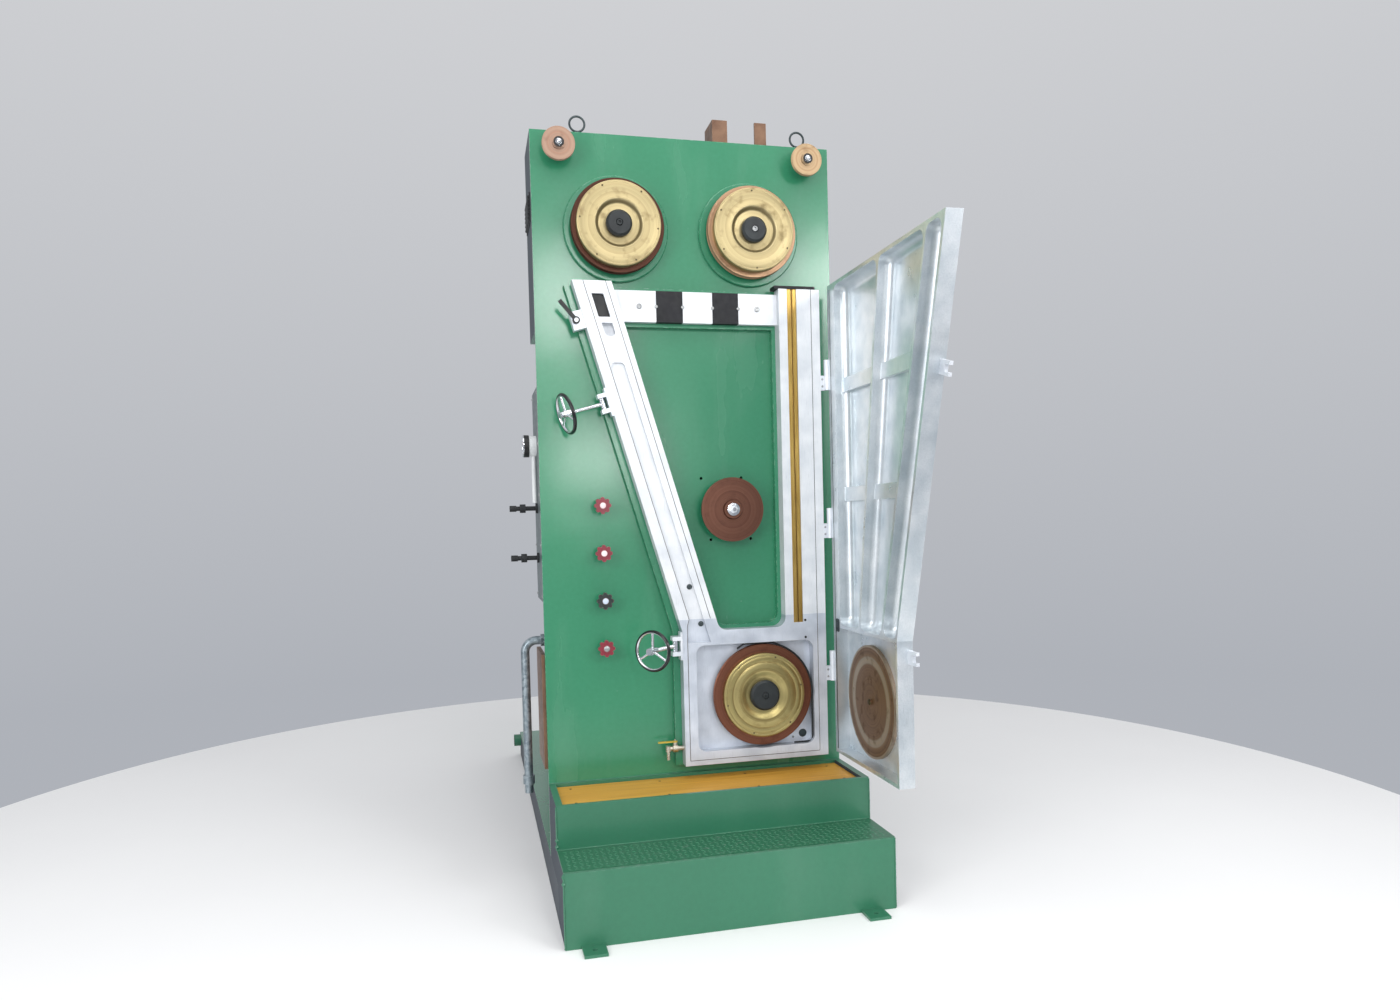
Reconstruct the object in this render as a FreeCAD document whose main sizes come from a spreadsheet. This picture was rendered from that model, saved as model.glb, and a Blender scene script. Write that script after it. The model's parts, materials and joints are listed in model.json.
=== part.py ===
import FreeCAD, Part
import os
import re
import Sketcher

# A vertical continuous annealer from a wire drawing line. Millimetres, +Z up.
# Origin: floor level, middle of the machine's width, at the face of the front plate.
# +X is the operator's right, +Y runs back into the machine. "Out" is the distance in front of the plate.

SIZES = {
    # base
    "machine_width": 1200, "machine_top": 2930, "plinth_depth": 2300, "plinth_height": 140,
    "deck_depth": 300, "deck_top": 425, "tray_rim": 25, "tray_depth": 40, "board_thick": 28, "board_gap": 3,
    "tread_depth": 225, "tread_top": 265, "tread_thick": 5,
    "tab_size": 80, "tab_thick": 10, "tab_hole": 18, "tab_inset": 95,
    "stub_radius": 35, "stub_reach": 40, "stub_inset": 70,
    # cabinet
    "plate_thick": 16, "sheet_thick": 4, "head_depth": 285, "head_bottom": 2170,
    "rear_width": 860, "rear_depth": 2200, "vent_tall": 112, "vent_wide": 190, "vent_z": 2600,
    "eye_radius": 29, "eye_wire": 4, "eye_left_x": -417, "eye_right_x": 473,
    "bus_left_x": 158, "bus_left_wide": 64, "bus_right_x": 340, "bus_right_wide": 50, "bus_thick": 10,
    "bus_side": 125, "bus_tall": 150, "bus_y": 150,
    # contact wheels
    "contact_left_x": -279, "contact_right_x": 255, "contact_z": 2565, "contact_rim": 180, "contact_face": 162,
    "contact_back": 30, "rim_thick": 30, "face_thick": 32,
    "low_x": 256, "low_z": 728, "low_rim": 203, "low_face": 168, "low_back": 46, "low_rim_thick": 20,
    "low_face_thick": 18,
    "shaft_radius": 30, "shaft_tail": 150, "shaft_gap": 3, "running_gap": 0.05,
    "hub_radius": 50, "low_hub_radius": 60,
    "flange_radius": 205, "flange_thick": 14, "gland_radius": 90, "gland_thick": 8,
    # idler wheel and guide pulleys
    "idler_x": 149, "idler_z": 1471, "idler_radius": 127, "idler_pin": 15, "idler_out": 30,
    "guide_left_x": -497, "guide_right_x": 487, "guide_z": 2858, "guide_radius": 62, "guide_pin": 12,
    "guide_out": 50, "end_play": 0.5,
    "bolt_hole": 6, "hole_pitch_x": 166, "hole_pitch_z": 246, "hole_shift": 35, "hole_x": 37, "hole_z": 1352,
    # annealing housing
    "pad_thick": 25, "pad_edge": 28, "pad_lip": 15, "cast_thick": 55,
    "box_left": -72, "housing_right": 522, "box_bottom": 468, "box_top": 997, "foot_top": 1045,
    "corner_radius": 40,
    "pocket_left": -20, "pocket_right": 466, "pocket_bottom": 520, "pocket_top": 940, "pocket_floor": 8,
    "wheel_room": 212, "drain_x": 430, "drain_z": 553, "drain_radius": 17,
    "leg_lean": 0.29, "leg_width": 150, "leg_top": 2348,
    "groove": 3, "leg_groove": 40, "box_groove": 18, "column_groove": 34, "channel_end": 100, "channel_deep": 12,
    "channel_top": 2040, "plug_radius": 9, "plug_at": 85, "plug_low_z": 1025, "plug_high_z": 1172,
    "column_left": 352, "column_top": 2340,
    "strip_left": 386, "strip_width": 40, "strip_depth": 22, "strip_foot": 1012, "strip_slot": 6,
    "bar_bottom": 2202, "bar_top": 2322, "bar_thick": 25, "block_width": 105, "block_proud": 3,
    "block_left_x": -85, "block_right_x": 140, "cap_thick": 12, "cap_reach": 18,
    # door
    "hinge_x": 548, "hinge_out": 85, "door_open": 90, "door_side": 16, "door_depth": 60,
    "door_skin": 6, "door_wall": 14, "door_rim": 70, "door_inset": 22, "door_bottom": 484, "door_top": 2350,
    "ridge_foot": 272, "ridge_lean": 0.17, "disc_x": 274, "disc_radius": 214, "disc_thick": 14,
    "hinge_pin": 8, "knuckle_radius": 13, "hinge_tall": 120,
    "hinge_low_z": 830, "hinge_mid_z": 1407, "hinge_high_z": 2000,
    "rib_low_z": 1492, "rib_high_z": 1920, "rib_tall": 55, "rib_thick": 24, "trough_radius": 32,
    # swing bolts with handwheels
    "clamp_out": 55, "clamp_reach": 26, "clamp_tall": 76, "clamp_gap": 44, "clamp_plate": 110, "clamp_pin": 6,
    "barrel_radius": 11,
    "rod_radius": 7, "rod_length": 176, "wheel_at": 155, "hand_radius": 80, "hand_wire": 7,
    "clamp_high_z": 1892, "clamp_low_z": 941, "swing_high": 14.5, "swing_low": 45,
    "latch_z": 2205, "latch_arm": 95,
    # water fittings
    "knob_x": -367, "knob_z": 945, "knob_pitch": 184, "knob_radius": 33, "stem_radius": 8,
    "tap_z": 535, "tap_out": 45, "tap_reach": 62, "tap_pin": 3,
    "panel_bottom": 1130, "panel_top": 1960, "panel_thick": 8, "gauge_z": 1742, "gauge_radius": 44,
    "side_y": 150, "valve_high_z": 1495, "valve_low_z": 1298, "valve_reach": 110,
    "pipe_radius": 17, "pipe_reach": 67, "pipe_top": 968, "pipe_bottom": 358, "pipe_bend": 45,
    "side_bar_bottom": 480, "side_bar_top": 925, "side_bar_thick": 16, "side_bar_lap": 4,
}

doc = FreeCAD.newDocument("vertical_annealer")
sheet = doc.addObject("Spreadsheet::Sheet", "Dims")
for row, (alias, value) in enumerate(SIZES.items(), start=1):
    sheet.set(f"A{row}", alias)
    sheet.set(f"B{row}", str(value))
    sheet.setAlias(f"B{row}", alias)
doc.recompute()

X_AXIS = FreeCAD.Rotation(FreeCAD.Vector(0, 1, 0), 90)
Y_AXIS = FreeCAD.Rotation(FreeCAD.Vector(1, 0, 0), -90)
nodes = []


def bound(text):
    """The same formula with each size name pointing at its cell in the sheet."""
    return re.sub(r"[a-z_]+", lambda word: "Dims." + word[0] if word[0] in SIZES else word[0], str(text))


def bind(thing, **formulas):
    """Tie an object's own properties to formulas of the sheet's sizes."""
    for name, formula in formulas.items():
        thing.setExpression(name, bound(formula))
    return thing


def place(thing, x=0, y=0, z=0):
    """Put an object's origin at a place given by formulas."""
    for letter, formula in zip("xyz", (x, y, z)):
        thing.setExpression(f"Placement.Base.{letter}", bound(formula))
    return thing


def turn(thing, axis, degrees):
    """Turn an object about an axis through its own origin by a bound angle."""
    thing.Placement = FreeCAD.Placement(thing.Placement.Base, FreeCAD.Rotation(FreeCAD.Vector(*axis), 1))
    thing.setExpression("Placement.Rotation.Angle", bound(degrees))
    return thing


def node(label, thing):
    """Name an object as a sub-part; its label is its file's name."""
    thing.Label = label
    nodes.append(thing)
    return thing


def box(x, y, z, wide, deep, tall):
    """Box from its low corner; every value is a formula."""
    thing = bind(doc.addObject("Part::Box", "Block"), Length=wide, Width=deep, Height=tall)
    return place(thing, x, y, z)


def rod(radius, length, x, y, z, axis=None):
    """Cylinder from its start point along +Z, or along +X or +Y."""
    thing = bind(doc.addObject("Part::Cylinder", "Rod"), Radius=radius, Height=length)
    if axis:
        thing.Placement.Rotation = axis
    return place(thing, x, y, z)


def fuse(*things):
    """One solid from several that meet."""
    thing = doc.addObject("Part::MultiFuse", "Fuse")
    thing.Shapes = list(things)
    thing.Refine = True
    return thing


def cut(base, *tools):
    """The base with the tools taken out of it."""
    for tool in tools:
        thing = doc.addObject("Part::Cut", "Cut")
        thing.Base = base
        thing.Tool = tool
        base = thing
    return base


def group(*things):
    """Several solids held together as one sub-part, which can be placed as a whole."""
    thing = doc.addObject("Part::Compound", "Group")
    thing.Links = list(things)
    return thing


def sketch_on(body, role, offset=0):
    """Empty sketch on one of the body's origin planes, moved along the plane's normal."""
    sketch = body.newObject("Sketcher::SketchObject", "Sketch")
    sketch.AttachmentSupport = [(next(p for p in body.Origin.OriginFeatures if p.Role == role), "")]
    sketch.MapMode = "FlatFace"
    sketch.setExpression(".AttachmentOffset.Base.z", bound(offset))
    return sketch


def outline(sketch, points):
    """Closed outline through points whose coordinates are formulas."""
    first, count = sketch.GeometryCount, len(points)
    around = [FreeCAD.Rotation(FreeCAD.Vector(0, 0, 1), 360 * index / count) for index in range(count)]
    spots = [turned.multVec(FreeCAD.Vector(100, 0, 0)) for turned in around]
    for index in range(count):
        sketch.addGeometry(Part.LineSegment(spots[index], spots[(index + 1) % count]), False)
    for index in range(count):
        following = first + (index + 1) % count
        sketch.addConstraint(Sketcher.Constraint("Coincident", first + index, 2, following, 1))
    for index, (across, up) in enumerate(points):
        for kind, formula, now in (("DistanceX", across, spots[index].x), ("DistanceY", up, spots[index].y)):
            made = sketch.addConstraint(Sketcher.Constraint(kind, -1, 1, first + index, 1, now))
            sketch.setExpression(f"Constraints[{made}]", bound(formula))
    return sketch


def circle(sketch, across, up, radius):
    """Circle whose centre and radius are formulas."""
    made = sketch.addGeometry(Part.Circle(FreeCAD.Vector(10, 10, 0), FreeCAD.Vector(0, 0, 1), 5), False)
    for kind, formula in (("DistanceX", across), ("DistanceY", up)):
        index = sketch.addConstraint(Sketcher.Constraint(kind, -1, 1, made, 3, 10))
        sketch.setExpression(f"Constraints[{index}]", bound(formula))
    index = sketch.addConstraint(Sketcher.Constraint("Radius", made, 5))
    sketch.setExpression(f"Constraints[{index}]", bound(radius))
    return sketch


def pad(body, sketch, length):
    """Material from the sketch along its normal."""
    feature = body.newObject("PartDesign::Pad", "Pad")
    feature.Profile = sketch
    bind(feature, Length=length)
    return feature


def pocket(body, sketch, depth):
    """Material taken out from the sketch against its normal."""
    feature = body.newObject("PartDesign::Pocket", "Pocket")
    feature.Profile = sketch
    bind(feature, Length=depth)
    return feature


def front_panel(points, back, thick):
    """Body drawn on the plate's plane: its outline is in X and Z, and it stands out from back."""
    body = doc.addObject("PartDesign::Body", "Body")
    pad(body, outline(sketch_on(body, "XZ_Plane", back), points), thick)
    return body


def sink(body, out, depth, points):
    """Pocket with straight sides in a front panel, from a face at out."""
    return pocket(body, outline(sketch_on(body, "XZ_Plane", out), points), depth)


def drill(body, out, depth, *holes):
    """Round holes (x, z, radius) in a front panel, from a face at out."""
    sketch = sketch_on(body, "XZ_Plane", out)
    for across, up, radius in holes:
        circle(sketch, across, up, radius)
    return pocket(body, sketch, depth)


def round_edges(body, radius, wanted):
    """Fillet on the edges of the body's last feature that the test picks."""
    doc.recompute()
    base = body.Tip
    names = [f"Edge{index}" for index, edge in enumerate(base.Shape.Edges, start=1) if wanted(edge)]
    feature = body.newObject("PartDesign::Fillet", "Fillet")
    feature.Base = (base, names)
    bind(feature, Radius=radius)
    return feature


def turned(points, x, z):
    """Body turned about an axis along Y; its outline is in radius and out."""
    body = doc.addObject("PartDesign::Body", "Body")
    sketch = outline(sketch_on(body, "XY_Plane"), [(radius, f"-({out})") for radius, out in points])
    feature = body.newObject("PartDesign::Revolution", "Revolution")
    feature.Profile = sketch
    feature.ReferenceAxis = (sketch, ["V_Axis"])
    feature.Angle = 360
    return place(body, x, 0, z)


def leg_left(z):
    """X of the slanted leg's left edge at a height."""
    return f"(box_left - leg_lean * ({z} - box_top))"


def leg_right(z):
    return f"({leg_left(z)} + leg_width)"


HALF = "machine_width / 2"
FACE = "(pad_thick + cast_thick)"


# ---- base ----
def base():
    node("base_plinth", box(f"-{HALF}", "-deck_depth", 0, "machine_width", "plinth_depth + deck_depth",
                            "plinth_height"))
    tray = cut(box(f"-{HALF}", "-deck_depth", "plinth_height", "machine_width", "deck_depth",
                   "deck_top - plinth_height"),
               box(f"-{HALF} + tray_rim", "-deck_depth + tray_rim / 2", "deck_top - tray_depth",
                   "machine_width - 2 * tray_rim", "deck_depth - tray_rim", "tray_depth"))
    node("deck_box", tray)
    node("foot_board", box(f"-{HALF} + tray_rim + board_gap", "-deck_depth + tray_rim / 2 + board_gap",
                           "deck_top - tray_depth", "machine_width - 2 * (tray_rim + board_gap)",
                           "deck_depth - tray_rim - 2 * board_gap", "board_thick"))
    node("step_box", box(f"-{HALF}", "-deck_depth - tread_depth", 0, "machine_width", "tread_depth",
                         "tread_top - tread_thick"))
    node("tread_plate", box(f"-{HALF}", "-deck_depth - tread_depth", "tread_top - tread_thick",
                            "machine_width", "tread_depth", "tread_thick"))
    tabs = []
    for side in ("-", ""):
        for start in ("-deck_depth - tread_depth - tab_size", "plinth_depth"):
            middle = f"{side}({HALF} - tab_inset)"
            plate = box(f"{middle} - tab_size / 2", start, 0, "tab_size", "tab_size", "tab_thick")
            tabs.append(cut(plate, rod("tab_hole / 2", "tab_thick", middle, f"{start} + tab_size / 2", 0)))
    node("anchor_tabs", group(*tabs))
    stubs = [rod("stub_radius", "stub_reach", x, "plinth_depth - stub_inset", "plinth_height - stub_radius", X_AXIS)
             for x in (f"-{HALF} - stub_reach", HALF)]
    node("lifting_stubs", group(*stubs))


# ---- cabinet ----
def front_plate():
    body = front_panel([(f"-{HALF}", "plinth_height"), (HALF, "plinth_height"), (HALF, "machine_top"),
                        (f"-{HALF}", "machine_top")], "-plate_thick", "plate_thick")
    bore = "shaft_radius + shaft_gap"
    drill(body, 0, "plate_thick", ("contact_left_x", "contact_z", bore), ("contact_right_x", "contact_z", bore),
          ("low_x", "low_z", bore))
    drill(body, 0, "plate_thick", *[("knob_x", f"knob_z + {step} * knob_pitch", "stem_radius + running_gap")
                                    for step in range(4)])
    drill(body, 0, "plate_thick", *[(f"hole_x + {right} * hole_pitch_x + {low} * hole_shift",
                                     f"hole_z + {1 - low} * hole_pitch_z", "bolt_hole")
                                    for right in (0, 1) for low in (0, 1)])
    return node("front_plate", body)


def shell(label, half, bottom, top, depth):
    """Box of sheet behind the plate, open towards it."""
    outer = box(f"-({half})", "plate_thick", bottom, f"2 * ({half})", f"{depth} - plate_thick", f"{top} - {bottom}")
    inner = box(f"-({half}) + sheet_thick", "plate_thick", f"{bottom} + sheet_thick",
                f"2 * ({half} - sheet_thick)", f"{depth} - plate_thick - sheet_thick",
                f"{top} - {bottom} - 2 * sheet_thick")
    return node(label, cut(outer, inner))


def cabinet():
    front_plate()
    shell("upper_housing", HALF, "head_bottom", "machine_top", "head_depth")
    shell("rear_housing", "rear_width / 2", "plinth_height", "head_bottom", "rear_depth")
    node("side_vent", box(f"-{HALF} - sheet_thick", "plate_thick + 44", "vent_z", "sheet_thick", "vent_wide",
                          "vent_tall"))
    eyes = []
    for x in ("eye_left_x", "eye_right_x"):
        ring = bind(doc.addObject("Part::Torus", "Ring"), Radius1="eye_radius", Radius2="eye_wire")
        ring.Placement.Rotation = Y_AXIS
        place(ring, x, "plate_thick / 2", "machine_top + eye_radius + eye_wire")
        foot = box(f"{x} - 8", "plate_thick / 2 - eye_wire", "machine_top", 16, "2 * eye_wire", "eye_wire")
        eyes.append(fuse(ring, foot))
    node("lifting_eyes", group(*eyes))
    angle = fuse(box("bus_left_x", "bus_y", "machine_top", "bus_left_wide", "bus_thick", "bus_tall"),
                 box("bus_left_x", "bus_y", "machine_top", "bus_thick", "bus_side", "bus_tall"))
    flat = box("bus_right_x", "bus_y", "machine_top", "bus_right_wide", "bus_thick", "bus_tall")
    node("bus_bars", group(angle, flat))


# ---- wheels ----
def contact_wheel(name, x, z, back, rim, face, rim_thick, face_thick, hub):
    """Copper contact rim, brass face and black-capped shaft of one driven wheel."""
    step = f"({back} + {rim_thick})"
    front = f"({step} + {face_thick})"
    floor = f"({step} + {face_thick} / 2)"
    node(f"{name}_rim", turned([("shaft_radius", back), (rim, back), (rim, f"{back} + {rim_thick} * 0.25"),
                                (f"{rim} - 5", f"{back} + {rim_thick} * 0.4"),
                                (f"{rim} - 5", f"{back} + {rim_thick} * 0.7"),
                                (rim, f"{back} + {rim_thick} * 0.85"), (rim, step), ("shaft_radius", step)], x, z))
    node(f"{name}_face", turned([("shaft_radius", step), (face, step), (face, f"{front} - 4"),
                                 (f"{face} - 4", front), ("92", front), ("84", floor),
                                 ("shaft_radius", floor)], x, z))
    node(f"{name}_shaft", turned([("0", "-shaft_tail"), ("shaft_radius", "-shaft_tail"), ("shaft_radius", floor),
                                  (hub, floor), (hub, f"{floor} + 16"),
                                  (f"{hub} - 8", f"{floor} + 24"), ("14", f"{floor} + 24"),
                                  ("12", f"{floor} + 20"), ("0", f"{floor} + 20")], x, z))


def bearings():
    """Bearing flanges that carry the three driven shafts."""
    bore = "shaft_radius + running_gap"
    flanges = [turned([(bore, "0"), ("flange_radius", "0"), ("flange_radius", "flange_thick - 4"),
                       ("flange_radius - 4", "flange_thick"), ("64", "flange_thick"), ("60", "contact_back - 6"),
                       (bore, "contact_back - 6")], x, "contact_z") for x in ("contact_left_x", "contact_right_x")]
    seat = "(pad_thick + pocket_floor)"
    gland = turned([(bore, seat), ("gland_radius", seat), ("gland_radius", f"{seat} + gland_thick"),
                    (bore, f"{seat} + gland_thick")], "low_x", "low_z")
    node("bearing_flanges", group(*flanges, gland))


def stud(pin, flange, collar_end, end, nut, x, z):
    """Fixed stud on the plate with a collar behind and a cap nut in front of what turns on it."""
    return turned([("0", "0"), (f"{flange}", "0"), (f"{flange}", "8"), (f"{pin} + 7", "8"),
                   (f"{pin} + 7", f"{collar_end} - end_play"), (pin, f"{collar_end} - end_play"),
                   (pin, f"{end} + end_play"), (nut, f"{end} + end_play"), (nut, f"{end} + 8"),
                   (f"{nut} * 0.6", f"{end} + 9.5"), ("0", f"{end} + 9.5")], x, z)


def idlers():
    """Idler wheel, two guide pulleys and the studs they turn on."""
    inner = "idler_pin + running_gap"
    node("idler_wheel", turned([(inner, "idler_out"), ("32", "idler_out"), ("32", "idler_out + 20"),
                                ("idler_radius", "idler_out + 20"), ("idler_radius", "idler_out + 28"),
                                ("40", "idler_out + 28"), ("36", "idler_out + 36"), (inner, "idler_out + 36")],
                               "idler_x", "idler_z"))
    inner = "guide_pin + running_gap"
    deep = "guide_radius - 8"
    for side in ("left", "right"):
        node(f"guide_pulley_{side}",
             turned([(inner, "guide_out"), ("24", "guide_out"), ("24", "guide_out + 4"),
                     ("guide_radius", "guide_out + 4"), ("guide_radius", "guide_out + 7"),
                     (deep, "guide_out + 12"), ("guide_radius", "guide_out + 17"),
                     ("guide_radius", "guide_out + 20"), ("24", "guide_out + 20"), ("24", "guide_out + 24"),
                     (inner, "guide_out + 24")], f"guide_{side}_x", "guide_z"))
    node("wheel_studs", group(
        stud("guide_pin", "24", "guide_out", "guide_out + 24", "19", "guide_left_x", "guide_z"),
        stud("guide_pin", "24", "guide_out", "guide_out + 24", "19", "guide_right_x", "guide_z"),
        stud("idler_pin", "34", "idler_out", "idler_out + 36", "25", "idler_x", "idler_z")))


# ---- annealing housing ----
def housing_pad():
    """Raised frame on the plate that the castings bolt to."""
    body = front_panel([("box_left - pad_edge", "box_bottom - 6"), ("housing_right", "box_bottom - 6"),
                        ("housing_right", "column_top - 8"), (f"{leg_left('leg_top - 8')} - pad_edge", "leg_top - 8"),
                        ("box_left - pad_edge", "box_top")], 0, "pad_thick")
    low, high, right = "box_top + pad_lip", "bar_bottom - pad_lip", "column_left - pad_lip"
    sink(body, "pad_thick", "pad_thick", [(f"{leg_right(low)} + pad_lip", low), (right, low), (right, high),
                                          (f"{leg_right(high)} + pad_lip", high)])
    foot = sheet.get("box_top") + sheet.get("pad_lip")
    round_edges(body, "corner_radius", lambda edge: runs_out(edge) and abs(edge.CenterOfMass.z - foot) < 1)
    drill(body, "pad_thick", "pad_thick", ("low_x", "low_z", "shaft_radius + shaft_gap"))
    return node("housing_pad", body)


def runs_out(edge):
    """True for a straight edge square to the plate."""
    start, end = edge.Vertexes[0].Point, edge.Vertexes[-1].Point
    return len(edge.Vertexes) == 2 and abs(start.x - end.x) < 1e-6 and abs(start.z - end.z) < 1e-6


def soften(body, radius, height):
    """Round the corners of the last pocket that lie at one height."""
    level = float(sheet.get(height) if height in SIZES else height)
    round_edges(body, radius, lambda edge: runs_out(edge) and edge.BoundBox.YLength > 5
                and abs(edge.CenterOfMass.z - level) < 1)


def housing_leg():
    body = front_panel([(leg_left("foot_top"), "foot_top"), (leg_right("foot_top"), "foot_top"),
                        (leg_right("leg_top"), "leg_top"), (leg_left("leg_top"), "leg_top")],
                       "pad_thick", "cast_thick")

    def strip(low, high, left, right, depth):
        """Groove that follows the leg between two heights, its sides given as distances from the left edge."""
        sink(body, FACE, depth, [(f"{leg_left(low)} + {left}", low), (f"{leg_left(low)} + {right}", low),
                                 (f"{leg_left(high)} + {right}", high), (f"{leg_left(high)} + {left}", high)])

    strip("foot_top", "leg_top", "leg_groove", "leg_groove + groove", "groove")
    strip("foot_top", "leg_top", "leg_width - 24", "leg_width - 24 + groove", "groove")
    strip("foot_top", "channel_top", "leg_groove + groove", "channel_end", "channel_deep")
    soften(body, 20, "channel_top")
    strip("2212", "2300", 58, 104, 40)
    strip("2140", "2190", 62, 104, 30)
    soften(body, 14, "2140")
    drill(body, f"{FACE} - channel_deep", 24, (f"{leg_left('plug_high_z')} + plug_at", "plug_high_z", "plug_radius"))
    return node("housing_leg", body)


def housing_column():
    body = front_panel([("column_left", "foot_top"), ("housing_right", "foot_top"),
                        ("housing_right", "column_top"), ("column_left", "column_top")], "pad_thick", "cast_thick")
    sink(body, FACE, "strip_depth", [("strip_left", "foot_top"), ("strip_left + strip_width", "foot_top"),
                                     ("strip_left + strip_width", "column_top"), ("strip_left", "column_top")])
    outer, inner = "housing_right - column_groove", "housing_right - column_groove - groove"
    sink(body, FACE, "groove", [(inner, "foot_top"), (outer, "foot_top"), (outer, "column_top"),
                                (inner, "column_top")])
    return node("housing_column", body)


def water_box():
    """Cast tray around the lower contact wheel, with the feet of the leg and the column on it."""
    body = front_panel([("box_left", "box_bottom"), ("housing_right", "box_bottom"), ("housing_right", "foot_top"),
                        ("column_left", "foot_top"), ("column_left", "box_top"), (leg_right("box_top"), "box_top"),
                        (leg_right("foot_top"), "foot_top"), (leg_left("foot_top"), "foot_top"),
                        ("box_left", "box_top")], "pad_thick", "cast_thick")
    foot = sheet.get("box_top")
    round_edges(body, "corner_radius", lambda edge: runs_out(edge) and abs(edge.CenterOfMass.z - foot) < 1
                and edge.CenterOfMass.x > sheet.get("box_left") + 1)
    sink(body, FACE, "cast_thick - pocket_floor", [("pocket_left", "pocket_bottom"),
                                                   ("pocket_right", "pocket_bottom"),
                                                   ("pocket_right", "pocket_top"), ("pocket_left", "pocket_top")])
    low, high = sheet.get("pocket_bottom"), sheet.get("pocket_top")
    round_edges(body, 35, lambda edge: runs_out(edge) and min(abs(edge.CenterOfMass.z - low),
                                                              abs(edge.CenterOfMass.z - high)) < 1)
    drill(body, FACE, "cast_thick - pocket_floor", ("low_x", "low_z", "wheel_room"))
    drill(body, "pad_thick + pocket_floor", "pocket_floor", ("low_x", "low_z", "shaft_radius + shaft_gap"),
          ("drain_x", "drain_z", "drain_radius"))
    sink(body, FACE, "strip_depth", [("strip_left", "strip_foot"), ("strip_left + strip_width", "strip_foot"),
                                     ("strip_left + strip_width", "foot_top"), ("strip_left", "foot_top")])
    gasket_groove(body)
    channel_floor = "pocket_top + 12"
    sink(body, FACE, "channel_deep", [(f"{leg_left('foot_top')} + leg_groove + groove", "foot_top"),
                                      ("box_left + box_groove + groove", "box_top + 20"),
                                      ("box_left + box_groove + groove", channel_floor),
                                      (f"{leg_left(channel_floor)} + channel_end", channel_floor),
                                      (f"{leg_left('foot_top')} + channel_end", "foot_top")])
    drill(body, f"{FACE} - channel_deep", 24, (f"{leg_left('plug_low_z')} + plug_at", "plug_low_z", "plug_radius"))
    return node("water_box", body)


def gasket_groove(body):
    """Narrow groove round the outside of the box, from the leg's groove to the column's."""
    left, right, low = "box_left + box_groove", "housing_right - column_groove", "box_bottom + box_groove"
    top_left = f"{leg_left('foot_top')} + leg_groove"
    sink(body, FACE, "groove", [(top_left, "foot_top"), (left, "box_top + 20"), (left, low), (right, low),
                                (right, "foot_top"), (f"{right} - groove", "foot_top"),
                                (f"{right} - groove", f"{low} + groove"), (f"{left} + groove", f"{low} + groove"),
                                (f"{left} + groove", "box_top + 20"), (f"{top_left} + groove", "foot_top")])


def cross_bar():
    """Three aluminium pieces of the top bar, parted by two insulating blocks."""
    left_end, left_start = "block_left_x - block_width / 2", "block_left_x + block_width / 2"
    right_end, right_start = "block_right_x - block_width / 2", "block_right_x + block_width / 2"
    pieces = [[(leg_right("bar_bottom"), "bar_bottom"), (left_end, "bar_bottom"), (left_end, "bar_top"),
               (leg_right("bar_top"), "bar_top")]]
    for start, end in ((left_start, right_end), (right_start, "column_left")):
        pieces.append([(start, "bar_bottom"), (end, "bar_bottom"), (end, "bar_top"), (start, "bar_top")])
    node("cross_bar", group(*[front_panel(points, "pad_thick", "bar_thick") for points in pieces]))
    blocks = [box(f"{x} - block_width / 2", "-pad_thick - bar_thick - block_proud", "bar_bottom", "block_width",
                  "bar_thick + block_proud", "bar_top - bar_bottom") for x in ("block_left_x", "block_right_x")]
    node("insulator_blocks", group(*blocks))


def column_cap():
    """Dark strip over the top of the column."""
    node("column_cap", box("column_left - cap_reach", f"-{FACE}", "column_top", "housing_right - column_left",
                           "cast_thick", "cap_thick"))


def wire_guide():
    """Brass guide strip in the column's groove, with a slot for the wire."""
    body = front_panel([("strip_left + 1", "strip_foot"), ("strip_left + strip_width - 1", "strip_foot"),
                        ("strip_left + strip_width - 1", "column_top"), ("strip_left + 1", "column_top")],
                       f"{FACE} - strip_depth", "strip_depth - 4")
    middle = "strip_left + strip_width / 2"
    sink(body, f"{FACE} - 4", 10, [(f"{middle} - strip_slot / 2", "strip_foot"),
                                   (f"{middle} + strip_slot / 2", "strip_foot"),
                                   (f"{middle} + strip_slot / 2", "column_top"),
                                   (f"{middle} - strip_slot / 2", "column_top")])
    return node("wire_guide", body)


# ---- clamps ----
LEAN = "atan(leg_lean)"
CLAMPS = {
    "upper": {"z": "clamp_high_z", "lean": LEAN, "swing": "swing_high"},
    "lower": {"z": "clamp_low_z", "lean": "0", "swing": "swing_low"},
}


def at_clamp(thing, spec, reach="clamp_reach"):
    """Stand a piece made about the origin on its hinge pin beside the leg or the box."""
    edge = leg_left(spec["z"]) if spec["lean"] != "0" else "box_left"
    group_of = turn(group(thing), (0, -1, 0), spec["lean"])
    return place(group_of, f"{edge} - {reach} * cos({spec['lean']})", "-clamp_out",
                 f"{spec['z']} - {reach} * sin({spec['lean']})")


def clamp_bracket():
    """Two ears, the web behind them and the pin of one swing bolt."""
    ears = [box("-14", "-22", z, "clamp_reach + 14", "44", "(clamp_tall - clamp_gap) / 2")
            for z in ("-clamp_tall / 2", "clamp_gap / 2")]
    web = box("clamp_reach - 8", "-22", "-clamp_plate / 2", "8", "44", "clamp_plate")
    return fuse(*ears, web, rod("clamp_pin", "clamp_tall", 0, 0, "-clamp_tall / 2"))


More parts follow.
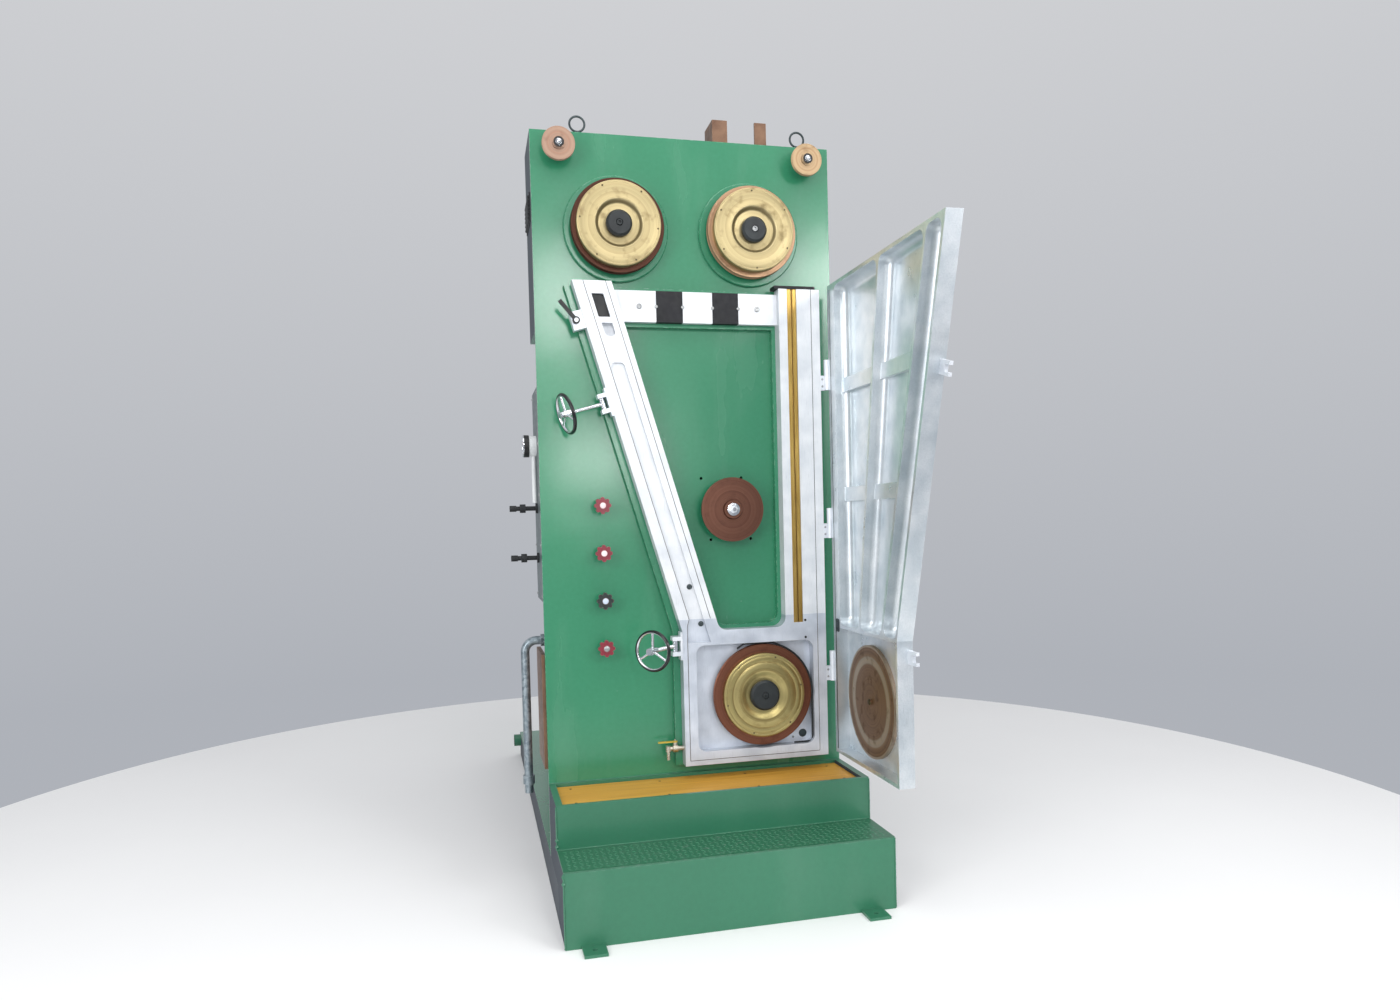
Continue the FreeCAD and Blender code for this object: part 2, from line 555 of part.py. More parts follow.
def swing_bolt(spec):
    """Eye barrel and threaded rod, swung out by its resting angle."""
    barrel = rod("barrel_radius", "clamp_gap - 2", 0, 0, "-clamp_gap / 2 + 1")
    shank = rod("rod_radius", "rod_length", "-rod_length", 0, 0, X_AXIS)
    nut = rod("rod_radius + 6", "14", "-rod_length - 6", 0, 0, X_AXIS)
    collar = rod("rod_radius + 4", "8", "-wheel_at + 17", 0, 0, X_AXIS)
    bolt = cut(fuse(barrel, shank, nut, collar),
               rod("clamp_pin + running_gap", "clamp_gap", 0, 0, "-clamp_gap / 2"))
    return at_clamp(turn(group(bolt), (0, 0, 1), spec["swing"]), spec)


def handwheel(spec):
    """Three-spoked handwheel on a swing bolt's rod."""
    ring = bind(doc.addObject("Part::Torus", "Ring"), Radius1="hand_radius - hand_wire", Radius2="hand_wire")
    ring.Placement.Rotation = X_AXIS
    place(ring, "-wheel_at", 0, 0)
    hub = rod("rod_radius + 8", "28", "-wheel_at - 12", 0, 0, X_AXIS)
    spokes = []
    for step in range(3):
        spoke = bind(doc.addObject("Part::Cylinder", "Rod"), Radius=5, Height="hand_radius - hand_wire")
        spoke.Placement.Rotation = FreeCAD.Rotation(FreeCAD.Vector(1, 0, 0), 120 * step)
        spokes.append(place(spoke, "-wheel_at", 0, 0))
    wheel = cut(fuse(ring, hub, *spokes), rod("rod_radius + running_gap", "60", "-wheel_at - 30", 0, 0, X_AXIS))
    return at_clamp(turn(group(wheel), (0, 0, 1), spec["swing"]), spec)


def clamps():
    brackets = [at_clamp(clamp_bracket(), spec) for spec in CLAMPS.values()]
    latch = {"z": "latch_z", "lean": LEAN}
    post = fuse(box("-18", "-20", "-35", "48", "40", "70"), rod("8", "30", 0, "-32", 0, Y_AXIS))
    brackets.append(at_clamp(post, latch, "30"))
    node("clamp_brackets", group(*brackets))
    for name, spec in CLAMPS.items():
        node(f"swing_bolt_{name}", swing_bolt(spec))
        node(f"handwheel_{name}", handwheel(spec))
    arm = fuse(rod("14", "9", 0, "-30", 0, Y_AXIS), box("-7", "-30", 0, "14", "9", "latch_arm"))
    lever = cut(arm, rod("8 + running_gap", "20", 0, "-35", 0, Y_AXIS))
    node("latch_lever", at_clamp(turn(group(lever), (0, -1, 0), 24), latch, "30"))


# ---- door ----
def in_door(x):
    """X of the housing as measured from the door's hinge line."""
    return f"({x} - hinge_x)"


def ridge(z):
    return f"(-(ridge_foot + ridge_lean * ({z} - box_top)))"


def hang(thing):
    """Hang a piece, drawn on the closed door, on the hinge line of the open one."""
    return place(turn(group(thing), (0, 0, 1), "door_open"), "hinge_x", "-hinge_out", 0)


def door_shell():
    """V-shaped cover: a skin with walls all round and between its channels, and two slotted lugs."""
    left, wall = f"({in_door('box_left')} + door_inset)", "door_wall"
    body = front_panel([("-door_side", "door_bottom"), (left, "door_bottom"), (left, "box_top"),
                        (f"{in_door(leg_left('door_top'))} + door_inset", "door_top"),
                        ("-door_side", "door_top")], 0, "door_depth")
    low, high = f"(box_top + {wall} / 2)", f"(door_top - {wall})"
    inner, beside = f"(-door_side - {wall})", "(-door_side - door_rim)"
    trays = [
        [(beside, low), (beside, high), (f"{ridge(high)} + {wall} / 2", high), (f"{ridge(low)} + {wall} / 2", low)],
        [(f"{ridge(low)} - {wall} / 2", low), (f"{ridge(high)} - {wall} / 2", high),
         (f"{in_door(leg_right(high))} + {wall} / 2", high), (f"{in_door(leg_right(low))} + {wall} / 2", low)],
        [(f"{in_door(leg_right(low))} - {wall} / 2", low), (f"{in_door(leg_right(high))} - {wall} / 2", high),
         (f"{in_door(leg_left(high))} + door_inset + {wall}", high),
         (f"{in_door(leg_left(low))} + door_inset + {wall}", low)],
        [(inner, f"door_bottom + {wall}"), (inner, f"box_top - {wall} / 2"),
         (f"{left} + {wall}", f"box_top - {wall} / 2"), (f"{left} + {wall}", f"door_bottom + {wall}")],
    ]
    for points in trays:
        hollow = pocket(body, outline(sketch_on(body, "XZ_Plane"), points), "door_depth - door_skin")
        hollow.Reversed = True
    floor = sheet.get("door_skin") - sheet.get("door_depth")
    foot = sheet.get("box_top")

    def in_trough(edge):
        """True for the edges round the floors of the three long channels, and for their corner edges."""
        reach = edge.BoundBox
        return reach.ZMin > foot and reach.YMin > floor - 1 and (reach.YMax < floor + 1 or reach.YLength > 40)

    round_edges(body, "trough_radius", in_trough)
    return body


def door_lug(spec):
    """Slotted lug that a swing bolt drops into, beside the door's free edge."""
    lug = cut(box("-16", "-82", "-24", f"clamp_reach + 16 + door_inset * cos({spec['lean']})", "12", "48"),
              box("-20", "-90", "-12", "32", "30", "24"))
    return at_clamp(lug, spec)


def knuckle(z):
    """Upper half of a hinge, on the door."""
    leaf = box("-door_side", "-14", z, "door_side", "12", "hinge_tall / 2")
    return cut(fuse(rod("knuckle_radius", "hinge_tall / 2", 0, 0, z), leaf),
               rod("hinge_pin + running_gap", "hinge_tall", 0, 0, f"{z} - 5"))


def door_ribs(shell):
    """Cross ribs low in the two wide channels, fitted to the walls and the rounded floors."""
    ribs = []
    for low in ("rib_low_z", "rib_high_z"):
        high = f"({low} + rib_tall)"
        right, middle, left = [("-door_side - door_rim / 2", "-door_side - door_rim / 2"),
                               (ridge(low), ridge(high)),
                               (in_door(leg_right(low)), in_door(leg_right(high)))]
        for start, end in ((right, middle), (middle, left)):
            rib = front_panel([(start[0], low), (end[0], low), (end[1], high), (start[1], high)],
                              "door_depth - door_skin - rib_thick", "rib_thick")
            ribs.append(cut(rib, shell))
    return group(*ribs)


def door():
    shell = door_shell()
    node("door_shell", hang(shell))
    lugs = [place(group(door_lug(spec)), "-hinge_x", "hinge_out", 0) for spec in CLAMPS.values()]
    node("door_lugs", hang(group(*lugs)))
    node("door_ribs", hang(door_ribs(shell)))
    top, foot = "door_depth - door_skin - disc_thick", "door_depth - door_skin"
    disc = turned([("0", f"{top} - 5"), ("9", f"{top} - 5"), ("9", top), ("disc_radius", top),
                   ("disc_radius", foot), ("0", foot)], in_door("disc_x"), "low_z")
    node("door_disc", hang(disc))
    heights = ("hinge_low_z", "hinge_mid_z", "hinge_high_z")
    node("door_hinges", hang(group(*[knuckle(z) for z in heights])))
    bases = []
    for z in heights:
        leaf = box("housing_right", f"-{FACE}", f"{z} - hinge_tall / 2", "hinge_x - housing_right", "12",
                   "hinge_tall / 2 - 1")
        lower = rod("knuckle_radius", "hinge_tall / 2 - 1", "hinge_x", "-hinge_out", f"{z} - hinge_tall / 2")
        pin = rod("hinge_pin", "hinge_tall", "hinge_x", "-hinge_out", f"{z} - hinge_tall / 2")
        bases.append(fuse(leaf, lower, pin))
    node("hinge_bases", group(*bases))


# ---- water fittings ----
def star_knob(index):
    """Eight-lobed valve knob on its stem."""
    lobes = []
    for step in range(8):
        angle = f"{45 * step} deg"
        lobes.append(rod("8", "16", f"(knob_radius - 8) * cos({angle})", "-56", f"(knob_radius - 8) * sin({angle})",
                         Y_AXIS))
    disc = rod("knob_radius - 7", "16", 0, "-56", 0, Y_AXIS)
    stem = rod("stem_radius", "80", 0, "-50", 0, Y_AXIS)
    cap = rod("13", "6", 0, "-60", 0, Y_AXIS)
    knob = group(fuse(*lobes, disc, stem, cap))
    return place(knob, "knob_x", 0, f"knob_z + {index} * knob_pitch")


def drain_tap():
    """Brass ball tap on the left of the water box."""
    end = "box_left - tap_reach"
    body = fuse(rod("9", "tap_reach", end, "-tap_out", "tap_z", X_AXIS),
                rod("15", "20", f"{end} + 18", "-tap_out", "tap_z", X_AXIS),
                rod("7", "44", end, "-tap_out", "tap_z - 44"), rod("11", "22", end, "-tap_out", "tap_z - 11"),
                rod("8", "24", f"{end} + 28", "-tap_out", "tap_z"),
                rod("tap_pin", "36", f"{end} + 28", "-tap_out", "tap_z"))
    node("drain_tap", body)
    grip = fuse(rod("9", "5", 0, 0, 0), box("-68", "-6", 0, "68", "12", "5"))
    lever = cut(grip, rod("tap_pin + running_gap", "9", 0, 0, "-2"))
    node("tap_lever", place(group(lever), f"{end} + 28", "-tap_out", "tap_z + 24 + end_play"))


def side_fittings():
    """What the machine carries on its left side: panel, gauge, hose valves, pipe and side bar."""
    node("side_panel", box(f"-{HALF}", "plate_thick", "panel_bottom", "panel_thick", "head_depth - plate_thick",
                           "panel_top - panel_bottom"))
    node("pressure_gauge", rod("gauge_radius", "20", f"-{HALF} - 48", "side_y", "gauge_z", X_AXIS))
    tube = "gauge_z - gauge_radius + 8 - valve_high_z - 22"
    node("gauge_body", fuse(rod("gauge_radius - 3", "28", f"-{HALF} - 28", "side_y", "gauge_z", X_AXIS),
                            rod("9", tube, f"-{HALF} - 10", "side_y", "valve_high_z + 22")))
    valves = []
    for z in ("valve_high_z", "valve_low_z"):
        valves.append(fuse(rod("9", "valve_reach", f"-{HALF} - valve_reach", "side_y", z, X_AXIS),
                           rod("17", "22", f"-{HALF} - 70", "side_y", z, X_AXIS),
                           rod("20", "8", f"-{HALF} - 8", "side_y", z, X_AXIS),
                           rod("12", "26", f"-{HALF} - valve_reach", "side_y", z, X_AXIS)))
    node("hose_valves", group(*valves))
    outer_x = f"(-{HALF} - pipe_reach)"
    run = f"(-rear_width / 2 - {outer_x} - pipe_bend)"
    pipe = fuse(rod("pipe_radius", run, f"{outer_x} + pipe_bend", "side_y", "pipe_top", X_AXIS),
                quarter_bend(outer_x),
                rod("pipe_radius", "pipe_top - pipe_bend - pipe_bottom", outer_x, "side_y", "pipe_bottom"),
                rod("pipe_radius + 7", "18", f"-{HALF} - 4", "side_y", "pipe_top", X_AXIS),
                rod("pipe_radius + 6", "34", outer_x, "side_y", "pipe_bottom + 36"))
    node("overflow_pipe", pipe)
    node("side_bus_bar", box(f"-{HALF} - side_bar_thick + side_bar_lap", "plate_thick", "side_bar_bottom",
                             "side_bar_thick", "head_depth - plate_thick", "side_bar_top - side_bar_bottom"))


def quarter_bend(outer_x):
    """Quarter of a ring that turns the pipe from level to straight down."""
    bend = bind(doc.addObject("Part::Torus", "Bend"), Radius1="pipe_bend", Radius2="pipe_radius")
    bend.Angle3 = 90
    bend.Placement.Rotation = FreeCAD.Rotation(FreeCAD.Vector(-1, 0, 0), FreeCAD.Vector(0, 0, 1),
                                               FreeCAD.Vector(0, 1, 0), "XYZ")
    return place(bend, f"{outer_x} + pipe_bend", "side_y", "pipe_top - pipe_bend")


base()
cabinet()
for side in ("left", "right"):
    contact_wheel(f"contact_wheel_{side}", f"contact_{side}_x", "contact_z", "contact_back", "contact_rim",
                  "contact_face", "rim_thick", "face_thick", "hub_radius")
contact_wheel("lower_wheel", "low_x", "low_z", "low_back", "low_rim", "low_face", "low_rim_thick",
              "low_face_thick", "low_hub_radius")
bearings()
idlers()
housing_pad()
housing_leg()
housing_column()
water_box()
cross_bar()
column_cap()
wire_guide()
clamps()
door()
for index in range(4):
    node(f"valve_knob_{index + 1}", star_knob(index))
drain_tap()
side_fittings()

doc.recompute()
for thing in doc.Objects:
    if {"Invalid", "Error"} & set(thing.State):
        raise RuntimeError(f"{thing.Label} is {thing.State}")
os.makedirs("parts", exist_ok=True)
for thing in nodes:
    if thing.Shape.isNull() or not thing.Shape.isValid():
        raise RuntimeError(f"{thing.Label} has no valid shape")
    thing.Shape.exportStep(f"parts/{thing.Label}.step")
print(len(nodes), "sub-parts")
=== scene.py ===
# %% [markdown]
# # A vertical wire annealer, finished in Blender
#
# The machine stands at the end of a wire drawing line. Wire runs over copper-rimmed contact wheels,
# down an aluminium housing filled with steam and water, and current through the wheels softens it.
# The engineering model gives every solid its place; this script gives each one its finish and adds
# the small parts that a maker fits last: screws, weld beads, raised tread and caps. It also lays
# cords of painted shade in the castings' grooves and in the water box, and a black cord along the
# door's rim.
# The imported model is loaded first, because every later position is read from it.

# %% Load the imported model
import json
import math

import bmesh
import bpy
import numpy as np
from mathutils import Matrix, Vector


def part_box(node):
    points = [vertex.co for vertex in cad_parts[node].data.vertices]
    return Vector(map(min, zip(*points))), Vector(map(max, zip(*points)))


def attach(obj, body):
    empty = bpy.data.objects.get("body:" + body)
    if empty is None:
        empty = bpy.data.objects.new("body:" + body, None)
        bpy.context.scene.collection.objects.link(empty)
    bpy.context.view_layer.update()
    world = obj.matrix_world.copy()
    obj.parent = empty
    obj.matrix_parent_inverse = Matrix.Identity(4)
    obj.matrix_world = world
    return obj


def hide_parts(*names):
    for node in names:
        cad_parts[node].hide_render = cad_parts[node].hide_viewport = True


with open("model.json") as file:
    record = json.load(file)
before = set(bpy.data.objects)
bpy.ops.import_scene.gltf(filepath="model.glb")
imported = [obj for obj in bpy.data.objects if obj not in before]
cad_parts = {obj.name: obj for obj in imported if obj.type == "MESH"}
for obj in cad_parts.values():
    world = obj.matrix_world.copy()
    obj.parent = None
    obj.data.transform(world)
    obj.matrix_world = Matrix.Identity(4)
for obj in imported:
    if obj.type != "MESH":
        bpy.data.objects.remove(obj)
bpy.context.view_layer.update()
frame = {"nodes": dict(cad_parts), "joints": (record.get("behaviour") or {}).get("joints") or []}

joints = {joint["name"]: joint for joint in frame["joints"]}

# %% [markdown]
# ## Camera
#
# A tall machine seen from a few steps away, a little to the left and below half its height, shows
# strong perspective: the top narrows and the left side is seen edge-on. The camera stands where an
# onlooker would, turned right by 13.5 degrees, tipped down by 1.9 and rolled by 1.4. Its three axes
# are worked out from those angles and put into its matrix, which avoids any aiming constraint.

# %% Camera
EYE = (-0.8695, -3.6944, 1.4357)
YAW, PITCH, ROLL = 0.2362, 0.0325, 0.0251
LENS, SENSOR, SHIFT = 24.47, 36, (0.001, 0.0358)


def camera_axes(yaw, pitch, roll):
    """Right, up and backward unit vectors of a camera turned by yaw, tipped down by pitch, rolled by roll."""
    ahead = Vector((math.sin(yaw) * math.cos(pitch), math.cos(yaw) * math.cos(pitch), -math.sin(pitch)))
    level = Vector((math.cos(yaw), -math.sin(yaw), 0))
    below = ahead.cross(level)
    right = math.cos(roll) * level + math.sin(roll) * below
    down = -math.sin(roll) * level + math.cos(roll) * below
    return right, -down, -ahead


camera = bpy.data.objects.new("onlooker", bpy.data.cameras.new("onlooker"))
bpy.context.scene.collection.objects.link(camera)
turn = Matrix(camera_axes(YAW, PITCH, ROLL)).transposed().to_4x4()
camera.matrix_world = Matrix.Translation(EYE) @ turn
camera.data.lens, camera.data.sensor_width = LENS, SENSOR
camera.data.shift_x, camera.data.shift_y = SHIFT
bpy.context.scene.camera = camera
print("camera axes", [tuple(round(v, 3) for v in axis) for axis in turn.to_3x3().transposed()])

# %% [markdown]
# ## Hall and light
#
# Glossy paint shows whatever stands in front of it, so the light decides how it looks. The hall is a
# soft sky that pales towards the roof. Broad panels give a gentle gradient over the plate, a tall
# strip at the left lights every rounded corner as one upright band, and three small ones in front
# stand where the paint mirrors them near its edges, as windows do.

# %% Colours as a painter names them
def tint(red, green, blue):
    """Linear RGBA from 0-255 display values: each value over 255, to the power 2.2."""
    return tuple((value / 255) ** 2.2 for value in (red, green, blue)) + (1.0,)


# %% World and light panels
HORIZON, ROOF = tint(196, 200, 208), tint(240, 241, 244)
PALING, SKY_STRENGTH = (-0.15, 0.6), 0.76
world = bpy.data.worlds.new("hall")
world.use_nodes = True
nodes, links = world.node_tree.nodes, world.node_tree.links
direction, height = nodes.new("ShaderNodeTexCoord"), nodes.new("ShaderNodeSeparateXYZ")
rising, sky = nodes.new("ShaderNodeMapRange"), nodes.new("ShaderNodeMix")
sky.data_type = "RGBA"
rising.inputs["From Min"].default_value, rising.inputs["From Max"].default_value = PALING
sky.inputs[6].default_value, sky.inputs[7].default_value = HORIZON, ROOF
links.new(direction.outputs["Generated"], height.inputs[0])
links.new(height.outputs["Z"], rising.inputs["Value"])
links.new(rising.outputs["Result"], sky.inputs[0])
links.new(sky.outputs[2], nodes["Background"].inputs["Color"])
nodes["Background"].inputs["Strength"].default_value = SKY_STRENGTH
bpy.context.scene.world = world
bpy.context.scene.view_settings.view_transform = "Standard"


def light_panel(name, at, towards, wide, tall, power):
    """Rectangular area light at a point, its face turned towards another point."""
    data = bpy.data.lights.new(name, "AREA")
    data.shape, data.size, data.size_y, data.energy = "RECTANGLE", wide, tall, power
    panel = bpy.data.objects.new(name, data)
    facing = (Vector(towards) - Vector(at)).to_track_quat("-Z", "Y")
    panel.matrix_world = Matrix.Translation(at) @ facing.to_matrix().to_4x4()
    bpy.context.scene.collection.objects.link(panel)


PANELS = {
    "front_left": ((-4.2, -5.0, 3.6), (0, 0, 1.4), 2.6, 2.6, 112),
    "front_right": ((3.6, -4.6, 3.0), (0, 0, 1.3), 2.2, 2.2, 62),
    "overhead": ((0, -1.2, 5.2), (0, 0.4, 0), 3.4, 3.4, 75),
    "side_strip": ((-4.6, -3.6, 1.7), (0.5, 0, 1.4), 0.8, 3.2, 60),
    "window_left": ((-0.02, -5.0, 3.45), (-0.5, 0, 2.3), 0.55, 0.8, 30),
    "window_right": ((2.6, -5.0, 3.7), (0.6, 0, 2.4), 0.8, 0.6, 34),
    "window_low": ((0.30, -5.0, 2.02), (-0.42, 0, 1.68), 0.7, 0.5, 20),
}
for name, settings in PANELS.items():
    light_panel(name, *settings)
print(len(PANELS), "light panels")

# %% [markdown]
# ## Shader maths in Python
#
# A material is a network of nodes, and a long network is hard to read. Here a small class wraps an
# output socket, so that `1 - mask` or `wear * 0.4` adds the Math node by itself. Every other node
# comes from one method, which takes its settings first and then the values of its sockets.

# %% Signal and Finish
class Signal:
    """A value on its way between shader nodes."""

    def __init__(self, finish, socket):
        self.finish, self.socket = finish, socket

    def math(self, operation, *values):
        return self.finish.node("Math", {"operation": operation}, dict(enumerate(values)))

    def __add__(self, other):
        return self.math("ADD", self, other)

    __radd__ = __add__

    def __sub__(self, other):
        return self.math("SUBTRACT", self, other)

    def __rsub__(self, other):
        return self.math("SUBTRACT", other, self)

    def __mul__(self, other):
        return self.math("MULTIPLY", self, other)

    __rmul__ = __mul__

    def __pow__(self, other):
        return self.math("POWER", self, other)

    def between(self, low, high):
        """0 at low and under, 1 at high and over, straight in between."""
        return self.finish.node("MapRange", {"clamp": True}, {0: self, 1: low, 2: high})


class Finish:
    """A material being made: its nodes, and the coordinates that its patterns use."""

    def __init__(self, name):
        self.material = bpy.data.materials.new(name)
        self.material.use_nodes = True
        self.material.node_tree.nodes.clear()
        self.place = self.node("TexCoord", output="Object")

    def node(self, kind, settings=None, inputs=None, output=0):
        """One shader node of a type; settings are set first, then values or links of its sockets."""
        made = self.material.node_tree.nodes.new("ShaderNode" + kind)
        for key, value in (settings or {}).items():
            setattr(made, key, value)
        for key, value in (inputs or {}).items():
            if isinstance(value, Signal):
                self.material.node_tree.links.new(value.socket, made.inputs[key])
            else:
                made.inputs[key].default_value = value
        return None if output is None else Signal(self, made.outputs[output])

    def mix(self, share, first, second):
        """Colour from the first to the second as share goes from 0 to 1; tuples are display values."""
        first, second = (tint(*shade) if isinstance(shade, tuple) else shade for shade in (first, second))
        return self.node("Mix", {"data_type": "RGBA"}, {0: share, 6: first, 7: second}, 2)

    def cloud(self, scale, detail=4.0, stretch=(1, 1, 1)):
        """Soft noise from 0 to 1, with scale blotches to the metre, narrower where stretch is larger."""
        spread = self.node("Mapping", None, {"Vector": self.place, "Scale": stretch})
        return self.node("TexNoise", None, {"Vector": spread, "Scale": scale, "Detail": detail})

    def offset(self, centre):
        """The place, measured from a centre."""
        return self.node("Mapping", None, {"Vector": self.place, "Location": tuple(-v for v in centre)})

    def parts(self, centre=(0, 0, 0)):
        """X, Y and Z of the place, measured from a centre."""
        return self.axes(self.offset(centre))

    def axes(self, vector):
        """The three parts of a vector."""
        split = self.node("SeparateXYZ", None, {0: vector})
        return [Signal(self, socket) for socket in split.socket.node.outputs]

    def edges(self, reach, gain=4.0):
        """1 along sharp edges and 0 on flats: how far the normal turns when corners are rounded by reach."""
        rounded = self.node("Bevel", {"samples": 4}, {"Radius": reach})
        straight = self.node("NewGeometry", output="Normal")
        agree = self.node("VectorMath", {"operation": "DOT_PRODUCT"}, {0: rounded, 1: straight}, "Value")
        return ((1 - agree) * gain).between(0, 1)

    def surface(self, colour, rough, height, depth, metal=0.0, **coat):
        """The finished material; a height from 0 to 1 tilts its normal, for a relief of a depth in metres."""
        relief = self.node("Bump", None, {"Height": height, "Distance": depth})
        sockets = {"Base Color": colour, "Roughness": rough, "Metallic": metal, "Normal": relief}
        sockets.update({key.replace("_", " "): value for key, value in coat.items()})
        shader = self.node("BsdfPrincipled", None, sockets)
        self.node("OutputMaterial", None, {"Surface": shader}, None)
        return self.material


finishes = {}


def keep(recipe, name, *settings):
    """Makes a finish by its recipe and files it under the maker's name for it."""
    finishes[name] = recipe(name, *settings)
    print("finish", name, "has", len(finishes[name].node_tree.nodes), "nodes")


# %% [markdown]
# ## Machine enamel
#
# The frame, plate and steps are filled, sanded and sprayed with gloss enamel. Real enamel is never
# flat: filler leaves long shallow waves, spray leaves orange peel, dust dulls the gloss and edges
# chip to a paler primer. Waves and peel go to the normal, dust to roughness, and chips follow the
# edges that the Bevel node finds, broken up by noise.

# %% Enamel
def enamel(name, light, deep, chip, gloss=0.2, wave=0.004, flank=None):
    """Gloss paint; faces that look along X may carry the flank colour instead."""
    finish = Finish(name)
    broad, fine, dust = finish.cloud(1.1, 3), finish.cloud(60, 6), finish.cloud(5, 8, (1, 1, 0.25))
    chipped = finish.edges(0.005) * finish.cloud(45, 5).between(0.48, 0.62)
    pips = finish.cloud(23, 2).between(0.765, 0.785)
    colour = finish.mix((broad * 0.7 + fine * 0.3).between(0.3, 0.7), deep, light)
    coat = 0.35
    if flank:
        along_x, _, _ = finish.axes(finish.node("TexCoord", output="Normal"))
        sideways = (along_x * along_x).between(0.6, 0.8)
        colour = finish.mix(sideways, colour, flank)
        coat, gloss = 0.35 * (1 - sideways), gloss + 0.35 * sideways
    colour = finish.mix(dust.between(0.55, 0.9) * 0.22, colour, chip)
    colour = finish.mix(chipped * 0.75 + pips * 0.25, colour, chip)
    height = finish.cloud(2.6, 2) + finish.cloud(420, 2) * 0.008 - chipped * 0.03
    return finish.surface(colour, gloss + 0.12 * dust + 0.3 * chipped, height, wave, Coat_Weight=coat,
                          Coat_Roughness=0.16)


SLATE = (56, 64, 73)
PLATE_GREEN = ((57, 133, 98), (46, 118, 86), (136, 174, 154))
STEP_GREEN = ((48, 115, 86), (40, 102, 76), (104, 142, 122), 0.34, 0.002)
keep(enamel, "green_enamel", *PLATE_GREEN)
keep(enamel, "green_and_slate", *PLATE_GREEN, 0.2, 0.004, SLATE)
keep(enamel, "step_enamel", *STEP_GREEN)
keep(enamel, "step_and_slate", *STEP_GREEN, SLATE)

# %% [markdown]
# ## Tread
#
# The step's top is chequer plate, painted a darker green and walked on. Raised lozenges come later as
# real geometry; the finish adds scuffs, which expose steel where boots land in the middle of the step,
# random grime, and a painted highlight: the tops of the lozenges are painted a lighter green.

# %% Tread paint
def tread_paint(name):
    finish = Finish(name)
    across, _, up = finish.parts()
    grime, scuff = finish.cloud(90, 8), finish.cloud(30, 8, (1, 3, 1))
    walked = scuff.between(0.55, 0.75) * (1 - (across * across).between(0.02, 0.3))
    # Painted highlight: the tops of the raised lozenges are painted a lighter green.
    lozenge_top_highlight = up.between(0.2652, 0.2662)
    colour = finish.mix(grime, (30, 84, 60), (48, 112, 82))
    colour = finish.mix(lozenge_top_highlight * 0.5, colour, (70, 142, 106))
    colour = finish.mix(walked * 0.35 + finish.edges(0.003) * 0.3, colour, (142, 156, 150))
    return finish.surface(colour, 0.28 + 0.3 * grime, grime, 0.0006, walked * 0.4, Coat_Weight=0.2)


keep(tread_paint, "tread_paint")

# %% [markdown]
# ## Ochre board
#
# The foot board is a plank painted ochre. Paint sinks into the grain, so the grain still shows as
# long shallow lines. Noise stretched along the plank gives it, in colour and in relief.

# %% Painted wood
def painted_wood(name):
    finish = Finish(name)
    grain = finish.cloud(9, 8, (0.25, 7, 7))
    fibre = finish.cloud(60, 4, (0.1, 9, 9))
    lines = (grain * 0.65 + fibre * 0.35).between(0.3, 0.72)
    colour = finish.mix(lines, (180, 126, 38), (222, 168, 72))
    colour = finish.mix(finish.edges(0.004) * finish.cloud(30).between(0.4, 0.6) * 0.7, colour, (120, 84, 40))
    colour = finish.mix(finish.cloud(3.5, 6).between(0.6, 0.85) * 0.35, colour, (150, 112, 62))
    return finish.surface(colour, 0.42 + 0.25 * grain, lines, 0.0012, Coat_Weight=0.1)


keep(painted_wood, "ochre_wood")

# %% [markdown]
# ## Cast and milled aluminium
#
# The housing is cast in sand, then its front is milled flat. Milled faces are bright with faint
# cloudy marks and fine scratches; cast sides are duller and grainy. One finish does both: the
# object's own normal says which way a face looks, so the milled share is read from its direction.
# The direction is the object's own, so it stays put when the door swings.

# %% Aluminium
def aluminium(name, milled_way, light, dull, grey, rough=0.34, metal=0.45, depth=0.0011):
    """Milled where the object's normal runs along milled_way, sand cast elsewhere."""
    finish = Finish(name)
    facing = finish.node("TexCoord", output="Normal")
    along = finish.node("VectorMath", {"operation": "DOT_PRODUCT"}, {0: facing, 1: milled_way}, "Value")
    milled = along.between(0.9, 0.99)
    sand, clouds, scratch = finish.cloud(320, 6), finish.cloud(11, 8), finish.cloud(35, 6, (14, 14, 0.6))
    colour = finish.mix(clouds.between(0.32, 0.68), dull, light)
    colour = finish.mix((1 - milled) * sand * 0.45, colour, grey)
    colour = finish.mix(scratch.between(0.58, 0.8) * 0.35, colour, grey)
    colour = finish.mix(finish.cloud(6, 10).between(0.6, 0.8) * 0.3, colour, grey)
    bright = finish.edges(0.003)
    colour = finish.mix(bright * 0.6, colour, (246, 247, 250))
    gloss = rough + 0.16 * clouds + 0.12 * sand * (1 - milled) - 0.1 * bright
    height = sand * (1 - milled) * 0.9 + scratch * 0.22 + finish.cloud(5, 2) * 0.6
    return finish.surface(colour, gloss, height, depth, metal)


OUT, LEFT, UP = (0, -1, 0), (-1, 0, 0), (0, 0, 1)
keep(aluminium, "housing_aluminium", OUT, (231, 233, 236), (210, 214, 219), (142, 148, 155), 0.44, 0.35)
keep(aluminium, "box_aluminium", OUT, (212, 218, 228), (186, 193, 204), (120, 127, 136), 0.34, 0.5)
keep(aluminium, "door_aluminium", LEFT, (240, 244, 247), (210, 219, 225), (122, 134, 140), 0.22, 0.75, 0.0003)

# %% [markdown]
# ## Steel, chrome and black parts
#
# Rods and hubs are plated, panels and tabs are plain steel, rims and levers are black enamel, hoses
# are rubber. All share one recipe with other numbers: a colour that drifts, fingerprints in the
# gloss, rubbed edges and a fine relief.

